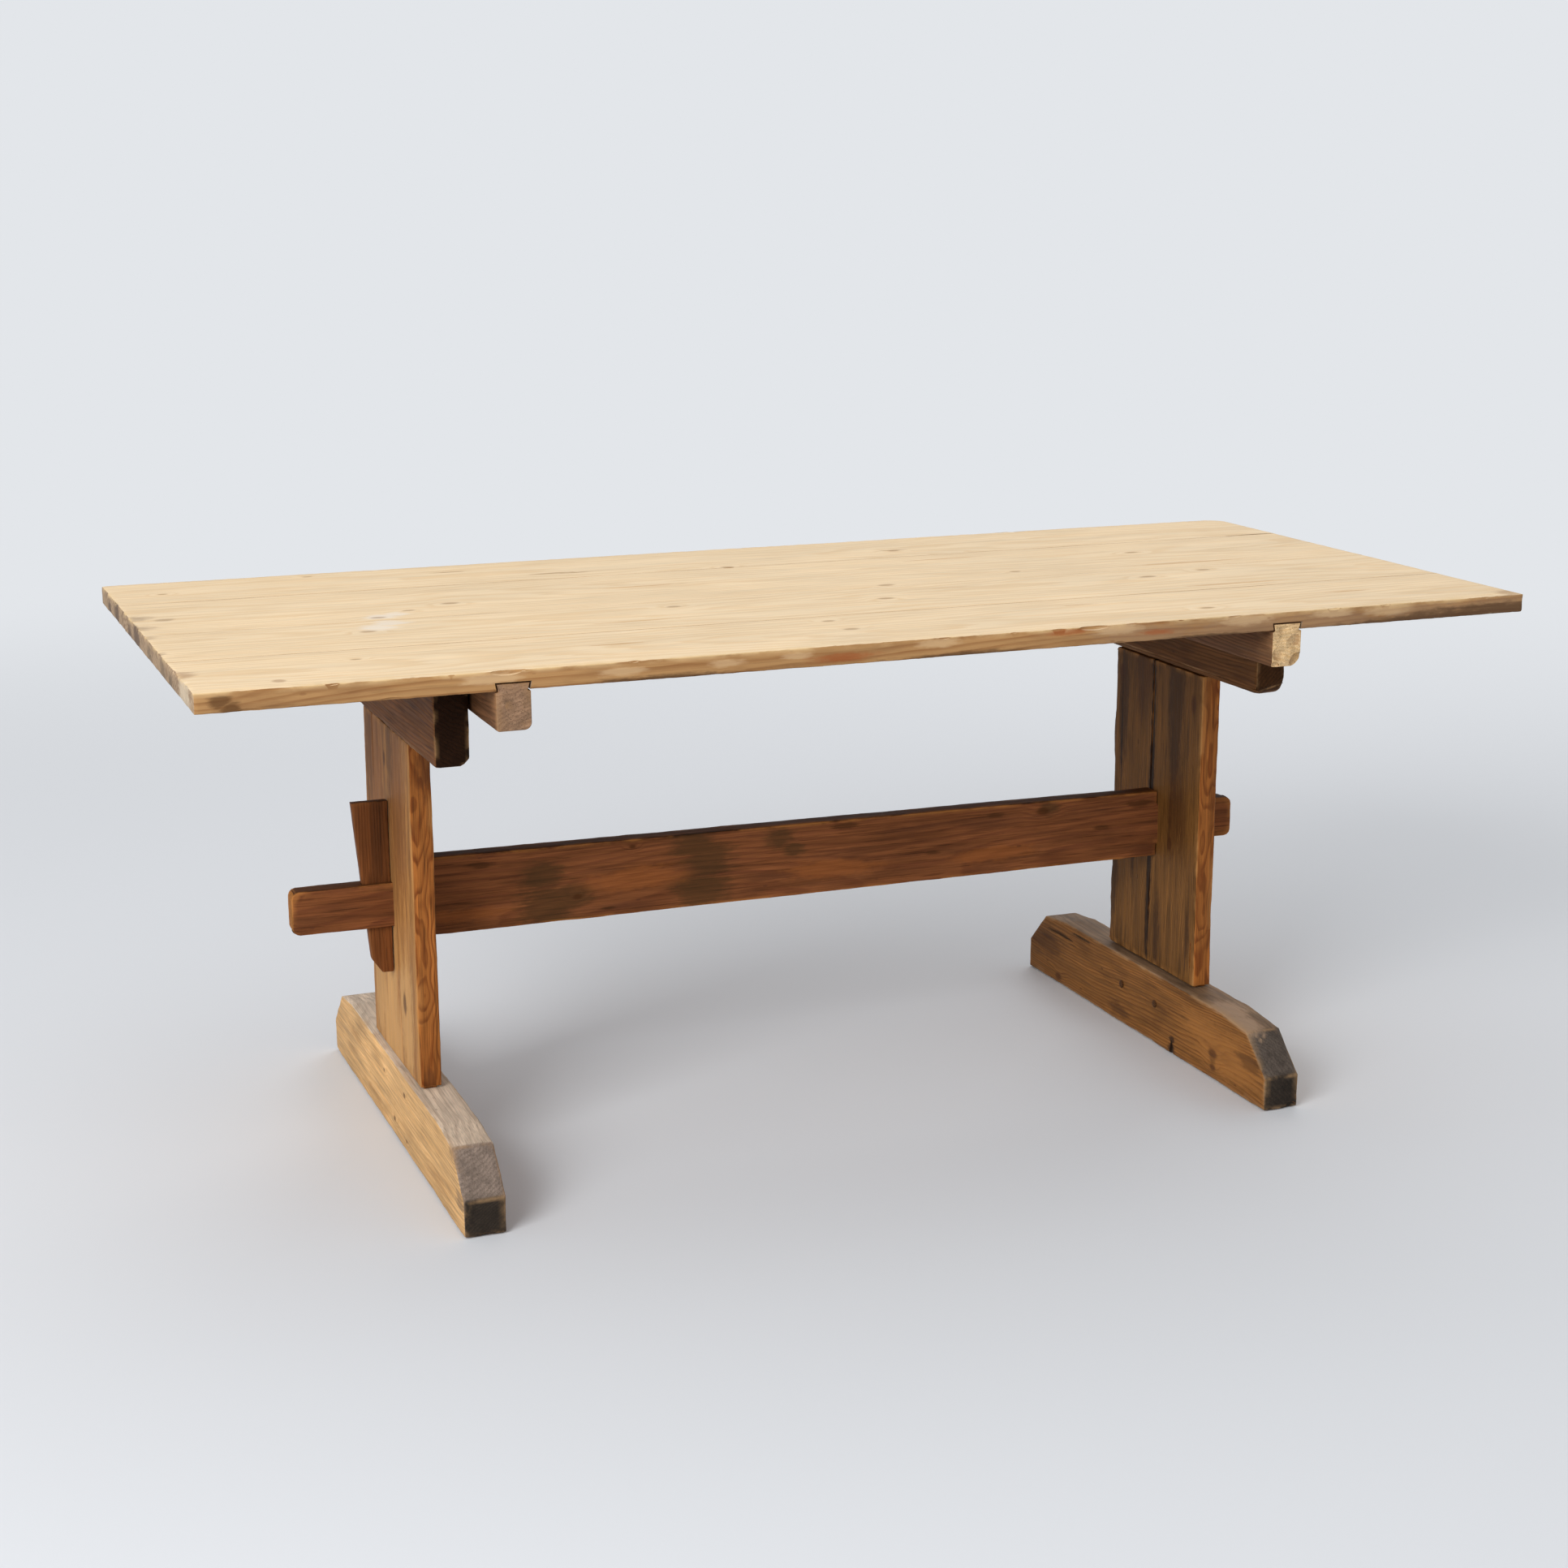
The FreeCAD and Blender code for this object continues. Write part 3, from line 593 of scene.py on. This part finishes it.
for side, outward in SIDES:
    low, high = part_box(f"{side}_bearer")
    bearer = rough_block(f"{side}_bearer_beam", low, high)
    inner, _ = cheeks(low, high, outward)
    chamfer(BEARER_CHAMFER, 1, (X, inner), (Z, low.z))
    chamfer(BEARER_NOSE[side], 4, (Y, low.y), (Z, low.z))
    ease(width=3 * MM)
    score(X, step=8 * MM)
    score(Z, step=8 * MM)
    rule(Y, step=6 * MM)
    mark_arrises(bearer)
    weather(bearer, spread=90 * MM, depth=1.5 * MM)
    weather(bearer, spread=24 * MM, depth=1.4 * MM, where="arris", contrast=2.0)
    # Sawn pine kept in the shade: it looks dull and dark, with hardly any rings and nearly black end grain
    material = aged_pine(
        f"aged_sawn_pine_{side}_bearer", along=Y, pith=(outward * 640, 0, 560), tilt=(0.7, 0, 0.5),
        ring_gap=5.0, worn="B58C60", wear_share=0.5, specular=0.05,
        tones=[(None, "7A5230", "5A391D", "43291A"),
               ((outward, 0, 0), "8C5C36", "70472A", "553622"),
               (FORWARD, *BEARER_ENDS[side]),
               (BACKWARD, *BEARER_ENDS[side])])
    settle(bearer, material, "trestle_frame", "aged_pine", f"{side}_bearer")


# Pegs
# Cleft and whittled pins, two to a joint, driven from the inner face through the tenons. Their ends are
# dark end grain, cut off nearly flush.
PEG_DIAMETER = 12 * MM

# Whittled pine, seen at its end grain: each pin is a dark dot in a paler face
peg_pine = aged_pine("whittled_pine_pegs", along=X, pith=(0, 0, 0), tilt=(0, 0, 0), ring_gap=3.0,
                     tones=[(None, "5A3A20", "38220F", "2A1A0C")])
for side, _ in SIDES:
    for joint in ("foot", "bearer"):
        node = f"{side}_{joint}_pegs"
        low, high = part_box(node)
        first = Vector(((low.x + high.x) / 2, low.y + PEG_DIAMETER / 2, (low.z + high.z) / 2))
        bpy.ops.object.select_all(action="DESELECT")
        bpy.ops.mesh.primitive_cylinder_add(
            vertices=9, radius=PEG_DIAMETER / 2, depth=high.x - low.x, location=first,
            rotation=(0, math.pi / 2, 0))
        bpy.ops.object.transform_apply(location=True, rotation=True, scale=True)
        pegs = bpy.context.object
        pegs.name = pegs.data.name = f"{node}_pins"
        bpy.ops.object.mode_set(mode="EDIT")
        pick("FACE", lambda face: abs(face.normal.x) > 0.9)
        bpy.ops.mesh.inset(thickness=1.5 * MM, depth=0.8 * MM)
        bpy.ops.mesh.inset(thickness=1.5 * MM, depth=0.3 * MM)
        bpy.ops.mesh.select_all(action="SELECT")
        spacing = high.y - low.y - PEG_DIAMETER
        bpy.ops.mesh.duplicate_move(TRANSFORM_OT_translate={"value": (0, spacing, 0)})
        bpy.ops.object.mode_set(mode="OBJECT")
        settle(pegs, peg_pine, "trestle_frame", "peg_wood", node)


# Stretcher
# One rail of reddish pine ties the trestles together. Its ends are cut down to long tusk tenons that run
# through the uprights, each with a slot for its wedge, and hands have rounded their tips.
STRETCHER_SHOULDER = 573 * MM
TUSK_LOW, TUSK_HIGH = 306 * MM, 369 * MM
RIGHT_RAIL_DROP = 10 * MM
TUSK_TIP = 11 * MM
SLOT_HALF = 7.4 * MM
SLOT_BACK = 599 * MM
SLOT_PLAY, SLOT_OVERRUN = 0.2 * MM, 4 * MM
WEDGE_TIP_WIDTH = 28 * MM
STRETCHER_KNOTS = [(-262, -16, 385, 3), (-344, -16, 321, 4), (379, -16, 375, 6)]
STRETCHER_LAYERS = [
    ("46341F", 0.65, 0.7, FORWARD, [
        (-395, -16, 355, 24), (-385, -16, 312, 34), (-355, -16, 322, 22), (-160, -16, 312, 32),
        (-150, -16, 350, 30), (-172, -16, 384, 26), (-42, -16, 376, 18), (-20, -16, 356, 12),
        (390, -16, 378, 13)]),
    ("3A2412", 0.6, 0.25, FORWARD, [
        (-480, -16, 380, 5), (-300, -16, 300, 4), (60, -16, 384, 5), (200, -16, 330, 4),
        (300, -16, 376, 4), (480, -16, 340, 4), (540, -16, 372, 6)]),
    ("A5602F", 0.36, 0.2, FORWARD, [
        (-500, -16, 312, 12), (-250, -16, 340, 16), (40, -16, 322, 16), (300, -16, 318, 14)]),
    # Painted shade, partly dust: a black line along the upper front arris, under the top
    ("1A110A", 0.95, 0.01, None, [
        (-430, -16, 405, 7), (-150, -16, 402, 7), (150, -16, 400, 7), (430, -16, 397, 7)]),
]
low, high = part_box("stretcher")
stretcher = rough_block(
    "stretcher_rail", Vector((low.x, low.y, TUSK_LOW)), Vector((high.x, high.y, TUSK_HIGH)))
cut(X, -STRETCHER_SHOULDER)
cut(X, STRETCHER_SHOULDER)
for level, move in ((TUSK_LOW, low.z - TUSK_LOW), (TUSK_HIGH, high.z - TUSK_HIGH)):
    pick("FACE", lambda face: at(face.calc_center_median(), Z, level)
         and abs(face.calc_center_median().x) < STRETCHER_SHOULDER)
    bpy.ops.mesh.extrude_region_move(TRANSFORM_OT_translate={"value": (0, 0, move)})
shift((0, 0, -RIGHT_RAIL_DROP), lambda place: at(place, X, STRETCHER_SHOULDER) and at(place, Z, high.z))
pick("EDGE", lambda edge: all(min(end.co.x - low.x, high.x - end.co.x) < HAIR for end in edge.verts)
     and abs(edge.verts[0].co.y - edge.verts[1].co.y) > HAIR)
bpy.ops.mesh.bevel(offset=TUSK_TIP, segments=3, affect="EDGES")
ease(width=3 * MM)
rule(Y, step=8 * MM)
rule(Z, step=8 * MM)
stations = (low.x, -STRETCHER_SHOULDER, STRETCHER_SHOULDER, high.x)
for start, end in zip(stations, stations[1:]):
    rule(X, step=6 * MM, low=start, high=end)
mark_arrises(stretcher)
weather(stretcher, spread=130 * MM, depth=1.5 * MM)
weather(stretcher, spread=26 * MM, depth=1.0 * MM, where="arris", contrast=1.6)
for side, outward in SIDES:
    wedge_low, wedge_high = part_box(f"{side}_wedge")
    slope = (wedge_high.x - wedge_low.x - WEDGE_TIP_WIDTH) / (wedge_high.z - wedge_low.z)
    wedge_face, _ = cheeks(wedge_low, wedge_high, outward)
    wedge_width = WEDGE_TIP_WIDTH + slope * (TUSK_LOW - wedge_low.z)
    back, front = outward * SLOT_BACK, wedge_face + outward * (wedge_width + SLOT_PLAY)
    slot_low = Vector((min(back, front), -SLOT_HALF, TUSK_LOW - SLOT_OVERRUN))
    slot_high = Vector((max(back, front), SLOT_HALF, TUSK_HIGH + SLOT_OVERRUN))
    slot = rough_block("slot", slot_low, slot_high)
    lean = outward * slope * (slot_high.z - slot_low.z)
    shift((lean, 0, 0), lambda place: at(place, X, front) and at(place, Z, slot_high.z))
    bpy.ops.object.mode_set(mode="OBJECT")
    carve(stretcher, slot)
# Pine rubbed by shoes and hands: a reddish, half-dull face with dark smudges, and an upper face and upper
# arris darkened partly by dust and partly by painted shade from the top above
material = aged_pine(
    "aged_rubbed_pine_stretcher", along=X, pith=(0, 60, 290), tilt=(0, 0.7, 0.6), ring_gap=7.0,
    knots=STRETCHER_KNOTS, layers=STRETCHER_LAYERS, worn="B87A40", wear_share=0.7, specular=0.03,
    tones=[(None, "8A5432", "74442A", "553524"),
           # Painted shade, partly dust: the upper face is darker, under the top
           (UPWARD, "5E3A20", "4E2F18", "3A2312"),
           (LEFTWARD, "A86F38", "8C5A2A", "6E4420"),
           (RIGHTWARD, "A86F38", "8C5A2A", "6E4420")])
settle(stretcher, material, "trestle_frame", "stretcher_pine", "stretcher")


# Wedges
# A tapered slip of dark wood goes down through each tusk and draws the upright's face against the rail's
# shoulder. Its head is bruised by the mallet and its nose is cut back, so that it finds the slot.
WEDGE_NOSE_WIDTH = 12 * MM
WEDGE_NOSE_RISE = 20 * MM
for side, outward in SIDES:
    low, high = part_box(f"{side}_wedge")
    wedge = rough_block(f"{side}_wedge_slip", low, high)
    nose = low.z + WEDGE_NOSE_RISE
    cut(Z, nose)
    _, outer = cheeks(low, high, outward)
    slope = (high.x - low.x - WEDGE_TIP_WIDTH) / (high.z - low.z)
    for level, narrower in ((low.z, WEDGE_NOSE_WIDTH), (nose, 0)):
        inset = slope * (high.z - level) + narrower
        shift((-outward * inset, 0, 0), lambda place: at(place, X, outer) and at(place, Z, level))
    ease(width=1.5 * MM)
    rule(X, step=6 * MM)
    rule(Y, step=5 * MM)
    rule(Z, step=5 * MM, low=nose, high=high.z)
    mark_arrises(wedge)
    weather(wedge, spread=60 * MM, depth=0.6 * MM)
    weather(wedge, spread=14 * MM, depth=0.8 * MM, where="arris", contrast=1.6)
    # Riven pine: close, straight grain in one dark tone, so that the wedge stands out from the upright
    material = aged_pine(
        f"aged_riven_pine_{side}_wedge", along=Z, pith=(outward * 700, 30, 0), tilt=(0.5, 0.8, 0),
        ring_gap=4.0, worn="8A5830",
        tones=[(None, "7C4924", "6A3C1B", "4A2A14"),
               (UPWARD, "5A3A22", "4A2F1B", "362012")])
    settle(wedge, material, f"{side}_wedge", "wedge_wood", f"{side}_wedge")


# Top boards
# Four planks of flat-sawn pine lie edge to edge, loose on the bearers. Sand and soda have scrubbed the face
# pale and raised its grain, while the edges and the underside keep their brown and are chipped all round.
BOARDS = ("top_board_front", "top_board_second", "top_board_third", "top_board_back")
BOARD_PITH = {
    "top_board_front": (0, -330, 610),
    "top_board_second": (0, -90, 590),
    "top_board_third": (0, 130, 620),
    "top_board_back": (0, 300, 600),
}
# Millimetres that each plank stops short of the one behind it. The second presses against the third.
SEAM_GAP = {"top_board_front": 0.5, "top_board_second": -0.4, "top_board_third": 0.6, "top_board_back": 0.0}
RUBBED_DEPTH = 3 * MM
WORN_CORNER = 40 * MM
WASTE_DEPTH, WASTE_OVERRUN = 100 * MM, 20 * MM
HOUSING_NECK, HOUSING_FLARE, HOUSING_DEPTH = 40 * MM, 3 * MM, 11 * MM
HOUSING_OVERRUN, HOUSING_DROP = 10 * MM, 5 * MM
BOARD_KNOTS = {
    "top_board_front": [(-61, -248, 730, 5), (-56, -314, 730, 6), (452, -346, 730, 6), (-696, -277, 730, 4)],
    "top_board_second": [(-640, -92, 730, 6), (-213, -63, 730, 6), (81, -110, 730, 7), (508, -81, 730, 7),
                         (615, -55, 730, 6)],
    "top_board_third": [(-488, 81, 730, 7), (-554, 46, 730, 5), (-605, 6, 730, 6), (127, -5, 730, 7),
                        (351, 35, 730, 5), (600, 138, 730, 6)],
    "top_board_back": [(-25, 240, 730, 6), (269, 294, 730, 5), (-625, 386, 730, 4), (-844, 309, 730, 4)],
}
# Pale marks, brown stains and scratches on the face, dirt at the left end, and the bruised front edge
BOARD_LAYERS = {
    "top_board_front": [
        ("C79A66", 0.7, 0.1, UPWARD, [(-371, -300, 730, 4), (300, -260, 730, 3), (700, -300, 730, 4)]),
        ("A98462", 0.6, 1.0, UPWARD, [(-920, -300, 730, 26), (-808, -375, 730, 8), (905, -395, 730, 22)]),
        ("D8C8AE", 0.55, 1.0, LEFTWARD, [(-915, -350, 718, 40)]),
        ("5E4E3C", 0.7, 1.0, LEFTWARD, [(-915, -240, 708, 14)]),
        ("5C3C20", 0.8, 0.6, FORWARD, [(-884, -415, 718, 9), (-872, -415, 710, 8)]),
        ("8E725A", 0.5, 0.15, FORWARD, [
            (330, -414, 714, 14), (470, -414, 713, 15), (610, -414, 713, 14), (760, -414, 712, 14),
            (880, -414, 712, 16)]),
        ("4A3220", 0.75, 0.06, FORWARD, [
            (70, -414, 705, 5), (420, -414, 704, 4), (740, -414, 706, 7), (810, -414, 706, 10),
            (890, -414, 708, 12), (-330, -414, 704, 6)]),
        ("9A4A1E", 0.6, 0.12, FORWARD, [(205, -414, 724, 4), (-110, -414, 714, 6), (340, -414, 716, 4)]),
        ("DCBB90", 0.45, 0.2, FORWARD, [
            (-560, -414, 722, 7), (-400, -414, 718, 6), (-265, -414, 718, 5), (-170, -414, 720, 4),
            (20, -414, 723, 6), (280, -414, 723, 7), (475, -414, 723, 8), (610, -414, 723, 6),
            (690, -414, 721, 8)])],
    "top_board_second": [
        ("6A5A48", 0.6, 1.0, LEFTWARD, [(-915, -60, 710, 18), (-915, -175, 710, 22)]),
        ("F2E9DC", 0.6, 0.8, UPWARD, [(-622, -66, 730, 22), (-600, -40, 730, 18), (-604, -12, 730, 18)]),
        ("CFA472", 0.6, 0.06, UPWARD, [(600, -179, 730, 5), (-300, -150, 730, 4), (200, -60, 730, 3)]),
        ("8A6E58", 0.45, 0.8, UPWARD, [(-925, -30, 730, 18), (-920, -150, 730, 12)])],
    "top_board_third": [
        ("54443A", 0.75, 1.0, LEFTWARD, [(-915, 55, 712, 30), (-915, 125, 706, 18)]),
        ("F2E9DC", 0.6, 0.8, UPWARD, [(-600, 12, 730, 18), (-578, 24, 730, 14)]),
        ("CFA472", 0.7, 0.06, UPWARD, [(640, 17, 730, 6), (-200, 120, 730, 4), (300, 190, 730, 4)]),
        ("7E6350", 0.45, 0.6, UPWARD, [(-925, 40, 730, 20), (-926, 120, 730, 22), (-872, 96, 730, 9)])],
    "top_board_back": [
        ("54443A", 0.75, 1.0, LEFTWARD, [(-915, 250, 712, 28), (-915, 330, 708, 16)]),
        ("A07A50", 0.7, 0.12, UPWARD, [
            (-285, 282, 730, 4), (-250, 276, 730, 3), (269, 300, 730, 3), (-420, 350, 730, 3)]),
        ("5A4028", 0.8, 0.08, UPWARD, [(870, 236, 730, 3), (529, 413, 730, 3)])],
}
BOARD_CHIPS = {
    "top_board_front": [((-545, -417, 728), (22, 6, 5)), ((245, -417, 728), (26, 6, 4)),
                        ((914, -400, 706), (6, 14, 6))],
    "top_board_third": [((-25, 232, 731), (9, 3, 4))],
    "top_board_back": [((529, 416, 729), (8, 6, 7)), ((880, 235, 731), (60, 1.5, 4))],
}
# Nicks in the arrises: how far each reaches, how far apart they stand, how far they stay from the corners,
# and how far outside the wood their middles lie
END_NICK = Vector((4, 13, 4)) * MM
UPPER_NICK, LOWER_NICK = Vector((14, 4, 4)) * MM, Vector((18, 5, 4)) * MM
END_NICK_SPACING, FRONT_NICK_SPACING = 105 * MM, 80 * MM
END_NICK_MARGIN, FRONT_NICK_MARGIN = 8 * MM, 20 * MM
NICK_PROUD = 1 * MM
NICK_PLACES, NICK_SIZES = (0.25, 0.75), (0.35, 1.0)


def nicks(chance, start, end, reach, spacing):
    """Small chips along an arris, one at a chance place in each stretch of it."""
    count = max(1, round((end - start).length / spacing))
    return [(start.lerp(end, (number + chance.uniform(*NICK_PLACES)) / count),
             reach * chance.uniform(*NICK_SIZES))
            for number in range(count)]


for board in BOARDS:
    low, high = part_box(board)
    high = high - Vector((0, SEAM_GAP[board] * MM, 0))
    plank = rough_block(f"{board}_plank", low, high)
    seams = []
    if board != BOARDS[0]:
        seams.append(low.y)
    if board != BOARDS[-1]:
        seams.append(high.y)

    def in_seam(edge):
        return any(all(at(end.co, Y, seam) for end in edge.verts) for seam in seams)

    ease(width=2.2 * MM, profile=0.55, belongs=lambda edge: not in_seam(edge),
         state=lambda place: RUBBED if place.z > high.z - RUBBED_DEPTH else BROKEN)
    ease(width=1 * MM, profile=0.5, belongs=in_seam, state=lambda place: PLAIN)
    rule(Y, step=14 * MM)
    rule(Z, step=6 * MM)
    rule(X, step=5 * MM)
    mark_arrises(plank)
    weather(plank, spread=200 * MM, depth=0.8 * MM)
    weather(plank, spread=11 * MM, depth=1.0 * MM, where="arris", contrast=2.0)
    chance = random.Random(board)
    chips = []
    for x in (low.x - NICK_PROUD, high.x + NICK_PROUD):
        start = Vector((x, low.y + END_NICK_MARGIN, high.z))
        finish = Vector((x, high.y - END_NICK_MARGIN, high.z))
        chips += nicks(chance, start, finish, END_NICK, END_NICK_SPACING)
    if board == BOARDS[0]:
        for level, reach in ((high.z, UPPER_NICK), (low.z, LOWER_NICK)):
            start = Vector((low.x + FRONT_NICK_MARGIN, low.y - NICK_PROUD, level))
            finish = Vector((high.x - FRONT_NICK_MARGIN, low.y - NICK_PROUD, level))
            chips += nicks(chance, start, finish, reach, FRONT_NICK_SPACING)
    gouge(plank, chips)
    if board in BOARD_CHIPS:
        gouge(plank, measured(BOARD_CHIPS[board]))
    for side, _ in SIDES:
        batten_low, batten_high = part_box(f"{side}_batten")
        middle = (batten_low.x + batten_high.x) / 2
        housing = rough_block(
            "housing",
            Vector((middle - HOUSING_NECK / 2, low.y - HOUSING_OVERRUN, low.z - HOUSING_DROP)),
            Vector((middle + HOUSING_NECK / 2, high.y + HOUSING_OVERRUN, low.z + HOUSING_DEPTH)))
        for way in (-1, 1):
            wall = middle + way * HOUSING_NECK / 2
            shift((way * HOUSING_FLARE, 0, 0), lambda place: at(place, X, wall) and place.z > low.z)
        bpy.ops.object.mode_set(mode="OBJECT")
        carve(plank, housing)
    if board == BOARDS[-1]:
        corner = high - Vector((WORN_CORNER, WORN_CORNER, 0))
        waste = rough_block("waste", corner - Vector((0, 0, WASTE_DEPTH)), high + Vector([WASTE_OVERRUN] * 3))
        bpy.ops.object.mode_set(mode="OBJECT")
        bpy.ops.object.select_all(action="DESELECT")
        bpy.ops.mesh.primitive_cylinder_add(vertices=64, radius=WORN_CORNER, depth=1, location=corner)
        bpy.ops.object.transform_apply(location=True, rotation=True, scale=True)
        carve(waste, bpy.context.object)
        carve(plank, waste)
    # Scrubbed pine: a dry, pale, nearly even face with faint brown knots, over edges that have stayed brown
    material = aged_pine(
        f"scrubbed_pine_{board}", along=X, pith=BOARD_PITH[board], tilt=(0, 0.9, 0.7), ring_gap=7.0,
        knots=BOARD_KNOTS[board], layers=BOARD_LAYERS[board], knot="946C42", knot_share=0.55, worn="E6C795",
        wear_share=0.8, streaks=0.06, blotches=0.06, lines=0.1, relief=0.1, roughness=0.68,
        tones=[(None, "9C6C40", "7C5029", "5E3C20"),
               (UPWARD, "F7DEB8", "ECCC9F", "EACBA0"),
               (FORWARD, "B58A5A", "96693F", "7E5636"),
               (LEFTWARD, "AC9276", "8C7258", "584636"),
               (RIGHTWARD, "C6AE92", "A88E70", "705A46")])
    settle(plank, material, "table_top", "scrubbed_pine", board)
# The dowels stay hidden between the planks, and are the same whittled pine as the pegs
dowel_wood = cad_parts["top_dowels"].data.materials
dowel_wood.clear()
dowel_wood.append(peg_pine)


# Battens
# A square batten runs across under the planks at each end, its dovetailed tongue slid into their housings,
# and drops inside the bearer when the top is laid on. The left one's end has greyed and the right one's has
# lately been broken off clean.
TONGUE_NECK, TONGUE_FLARE = 38 * MM, 3 * MM
# How far the lower inner and the lower outer corner are rounded
BATTEN_CORNERS = {"left": (10 * MM, 5 * MM), "right": (5 * MM, 14 * MM)}
BATTEN_ENDS = {"left": ("9C7B60", "8A6A52", "6A4E3A"), "right": ("F7D3A0", "E6BC84", "B4884F")}
BATTEN_HOLLOWS = {
    "left": [((-541, -418, 684), (15, 5, 13)), ((-521, -417, 664), (12, 4, 8))],
    "right": [((524, -419, 672), (13, 8, 12)), ((546, -419, 690), (15, 7, 10)),
              ((554, -418, 660), (15, 9, 13)), ((530, -418, 704), (10, 6, 8)), ((518, -417, 656), (8, 7, 6))],
}
for side, outward in SIDES:
    low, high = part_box(f"{side}_batten")
    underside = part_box(BOARDS[0])[0].z
    middle = (low.x + high.x) / 2
    batten = rough_block(f"{side}_batten_beam", low, Vector((high.x, high.y, underside)))
    for wall, width in zip(cheeks(low, high, outward), BATTEN_CORNERS[side]):
        chamfer(width, 6, (X, wall), (Z, low.z))
    for way in (-1, 1):
        cut(X, middle + way * TONGUE_NECK / 2)
    pick("FACE", lambda face: at(face.calc_center_median(), Z, underside)
         and abs(face.calc_center_median().x - middle) < TONGUE_NECK / 2)
    bpy.ops.mesh.extrude_region_move(TRANSFORM_OT_translate={"value": (0, 0, high.z - underside)})
    for way in (-1, 1):
        wall = middle + way * TONGUE_NECK / 2
        shift((way * TONGUE_FLARE, 0, 0), lambda place: at(place, X, wall) and at(place, Z, high.z))
    ease(width=2 * MM)
    rule(Y, step=6 * MM)
    mark_arrises(batten)
    weather(batten, spread=80 * MM, depth=1.2 * MM)
    weather(batten, spread=18 * MM, depth=1.0 * MM, where="arris", contrast=1.6)
    for (x, front, z), reach in BATTEN_HOLLOWS[side]:
        for y in (front, -front):
            gouge(batten, measured([((x, y, z), reach)]))
    # Sawn pine: brown and dull along its length, and its end grain tells the greyed end from the broken one
    material = aged_pine(
        f"aged_sawn_pine_{side}_batten", along=Y, pith=(outward * 500, 0, 600), tilt=(0.5, 0, 0.8),
        ring_gap=5.0, worn="A07A54",
        tones=[(None, "80583A", "5E3F26", "46301E"),
               (FORWARD, *BATTEN_ENDS[side]),
               (BACKWARD, *BATTEN_ENDS[side])])
    settle(batten, material, "table_top", "batten_pine", f"{side}_batten")


# Floor
# A wide sheet of pale matt paper lies under the table and takes its shadow. Farther out it fades into the
# pale background, for the camera only, so that no edge shows from any side.
FLOOR_SIZE = 40.0
FADE_START, FADE_END = 1.8, 5.0
PAPER, BACKGROUND = "E0E3E7", "E3E6EA"
bpy.ops.object.select_all(action="DESELECT")
bpy.ops.mesh.primitive_plane_add(size=FLOOR_SIZE)
sheet = bpy.context.object
sheet.name = sheet.data.name = "paper_sheet"
# Matt paper: an even, pale, dry ground that shows the shadow and hardly any gloss
paper = bpy.data.materials.new("pale_matt_paper")
paper.use_nodes = True
tree = paper.node_tree
matt = tree.nodes["Principled BSDF"]
matt.inputs["Base Color"].default_value = linear(PAPER)
matt.inputs["Roughness"].default_value = 0.9
matt.inputs["Specular IOR Level"].default_value = 0.2
distance = add(tree, "VectorMath", (add(tree, "TexCoord", {}, "Object"),), "Value", operation="LENGTH")
fade = add(tree, "MapRange", (distance, FADE_START, FADE_END, 0.0, 1.0), **SMOOTH)
share = add(tree, "Math", (fade, add(tree, "LightPath", {}, "Is Camera Ray")), operation="MULTIPLY")
glow = add(tree, "Emission", {"Color": linear(BACKGROUND), "Strength": 1.0})
surface = add(tree, "MixShader", (share, matt.outputs["BSDF"], glow))
tree.links.new(surface, tree.nodes["Material Output"].inputs["Surface"])
sheet.data.materials.append(paper)


# Light
# A large soft lamp high on the left gives the faces their shape, an even pale sky fills the shade, and a
# weaker lamp above lifts the back. The eye and reflections see the pale background in place of the sky.
SKY, SKY_STRENGTH = "F2F2F3", 0.66
world = bpy.data.worlds.new("pale_studio")
bpy.context.scene.world = world
world.use_nodes = True
tree = world.node_tree
sky = add(tree, "Background", {"Color": linear(SKY), "Strength": SKY_STRENGTH})
background = tree.nodes["Background"]
background.inputs["Color"].default_value = linear(BACKGROUND)
background.inputs["Strength"].default_value = 1.0
seen = 0.0
for ray in ("Is Camera Ray", "Is Glossy Ray", "Is Transmission Ray"):
    seen = add(tree, "Math", (seen, add(tree, "LightPath", {}, ray)), operation="MAXIMUM")
surface = add(tree, "MixShader", (seen, sky, background.outputs["Background"]))
tree.links.new(surface, tree.nodes["World Output"].inputs["Surface"])


def hang_lamp(name, place, aim, size, energy):
    """Hangs a square lamp, turned to what it lights. Places and size are in metres."""
    bpy.ops.object.light_add(type="AREA", location=place)
    lamp = bpy.context.object
    lamp.name = lamp.data.name = name
    lamp.data.shape = "SQUARE"
    lamp.data.size = size
    lamp.data.energy = energy
    lamp.rotation_euler = (Vector(aim) - Vector(place)).to_track_quat("-Z", "Y").to_euler()


hang_lamp("key_lamp", place=(-4.4, -3.4, 3.3), aim=(0, 0, 0.6), size=3.0, energy=250)
hang_lamp("back_lamp", place=(2.6, 3.4, 3.6), aim=(0, 0, 0.4), size=3.0, energy=50)


# Camera
# It stands nearly four metres off, to the left of the table's middle and a little above the eye of someone
# seated, and looks slightly down through a moderately long lens.
TURN, TILT, ROLL = math.radians(-21.212), math.radians(90 - 13.567), math.radians(-0.206)
camera_data = bpy.data.cameras.new("camera")
camera_data.sensor_width = 36
camera_data.lens = 59.88
camera = bpy.data.objects.new("camera", camera_data)
bpy.context.scene.collection.objects.link(camera)
camera.location = (-1.3422, -3.3850, 1.3269)
facing = Matrix.Rotation(TURN, 3, "Z") @ Matrix.Rotation(TILT, 3, "X") @ Matrix.Rotation(ROLL, 3, "Z")
camera.rotation_euler = facing.to_euler()
bpy.context.scene.camera = camera

bpy.context.scene.view_settings.view_transform = "Standard"
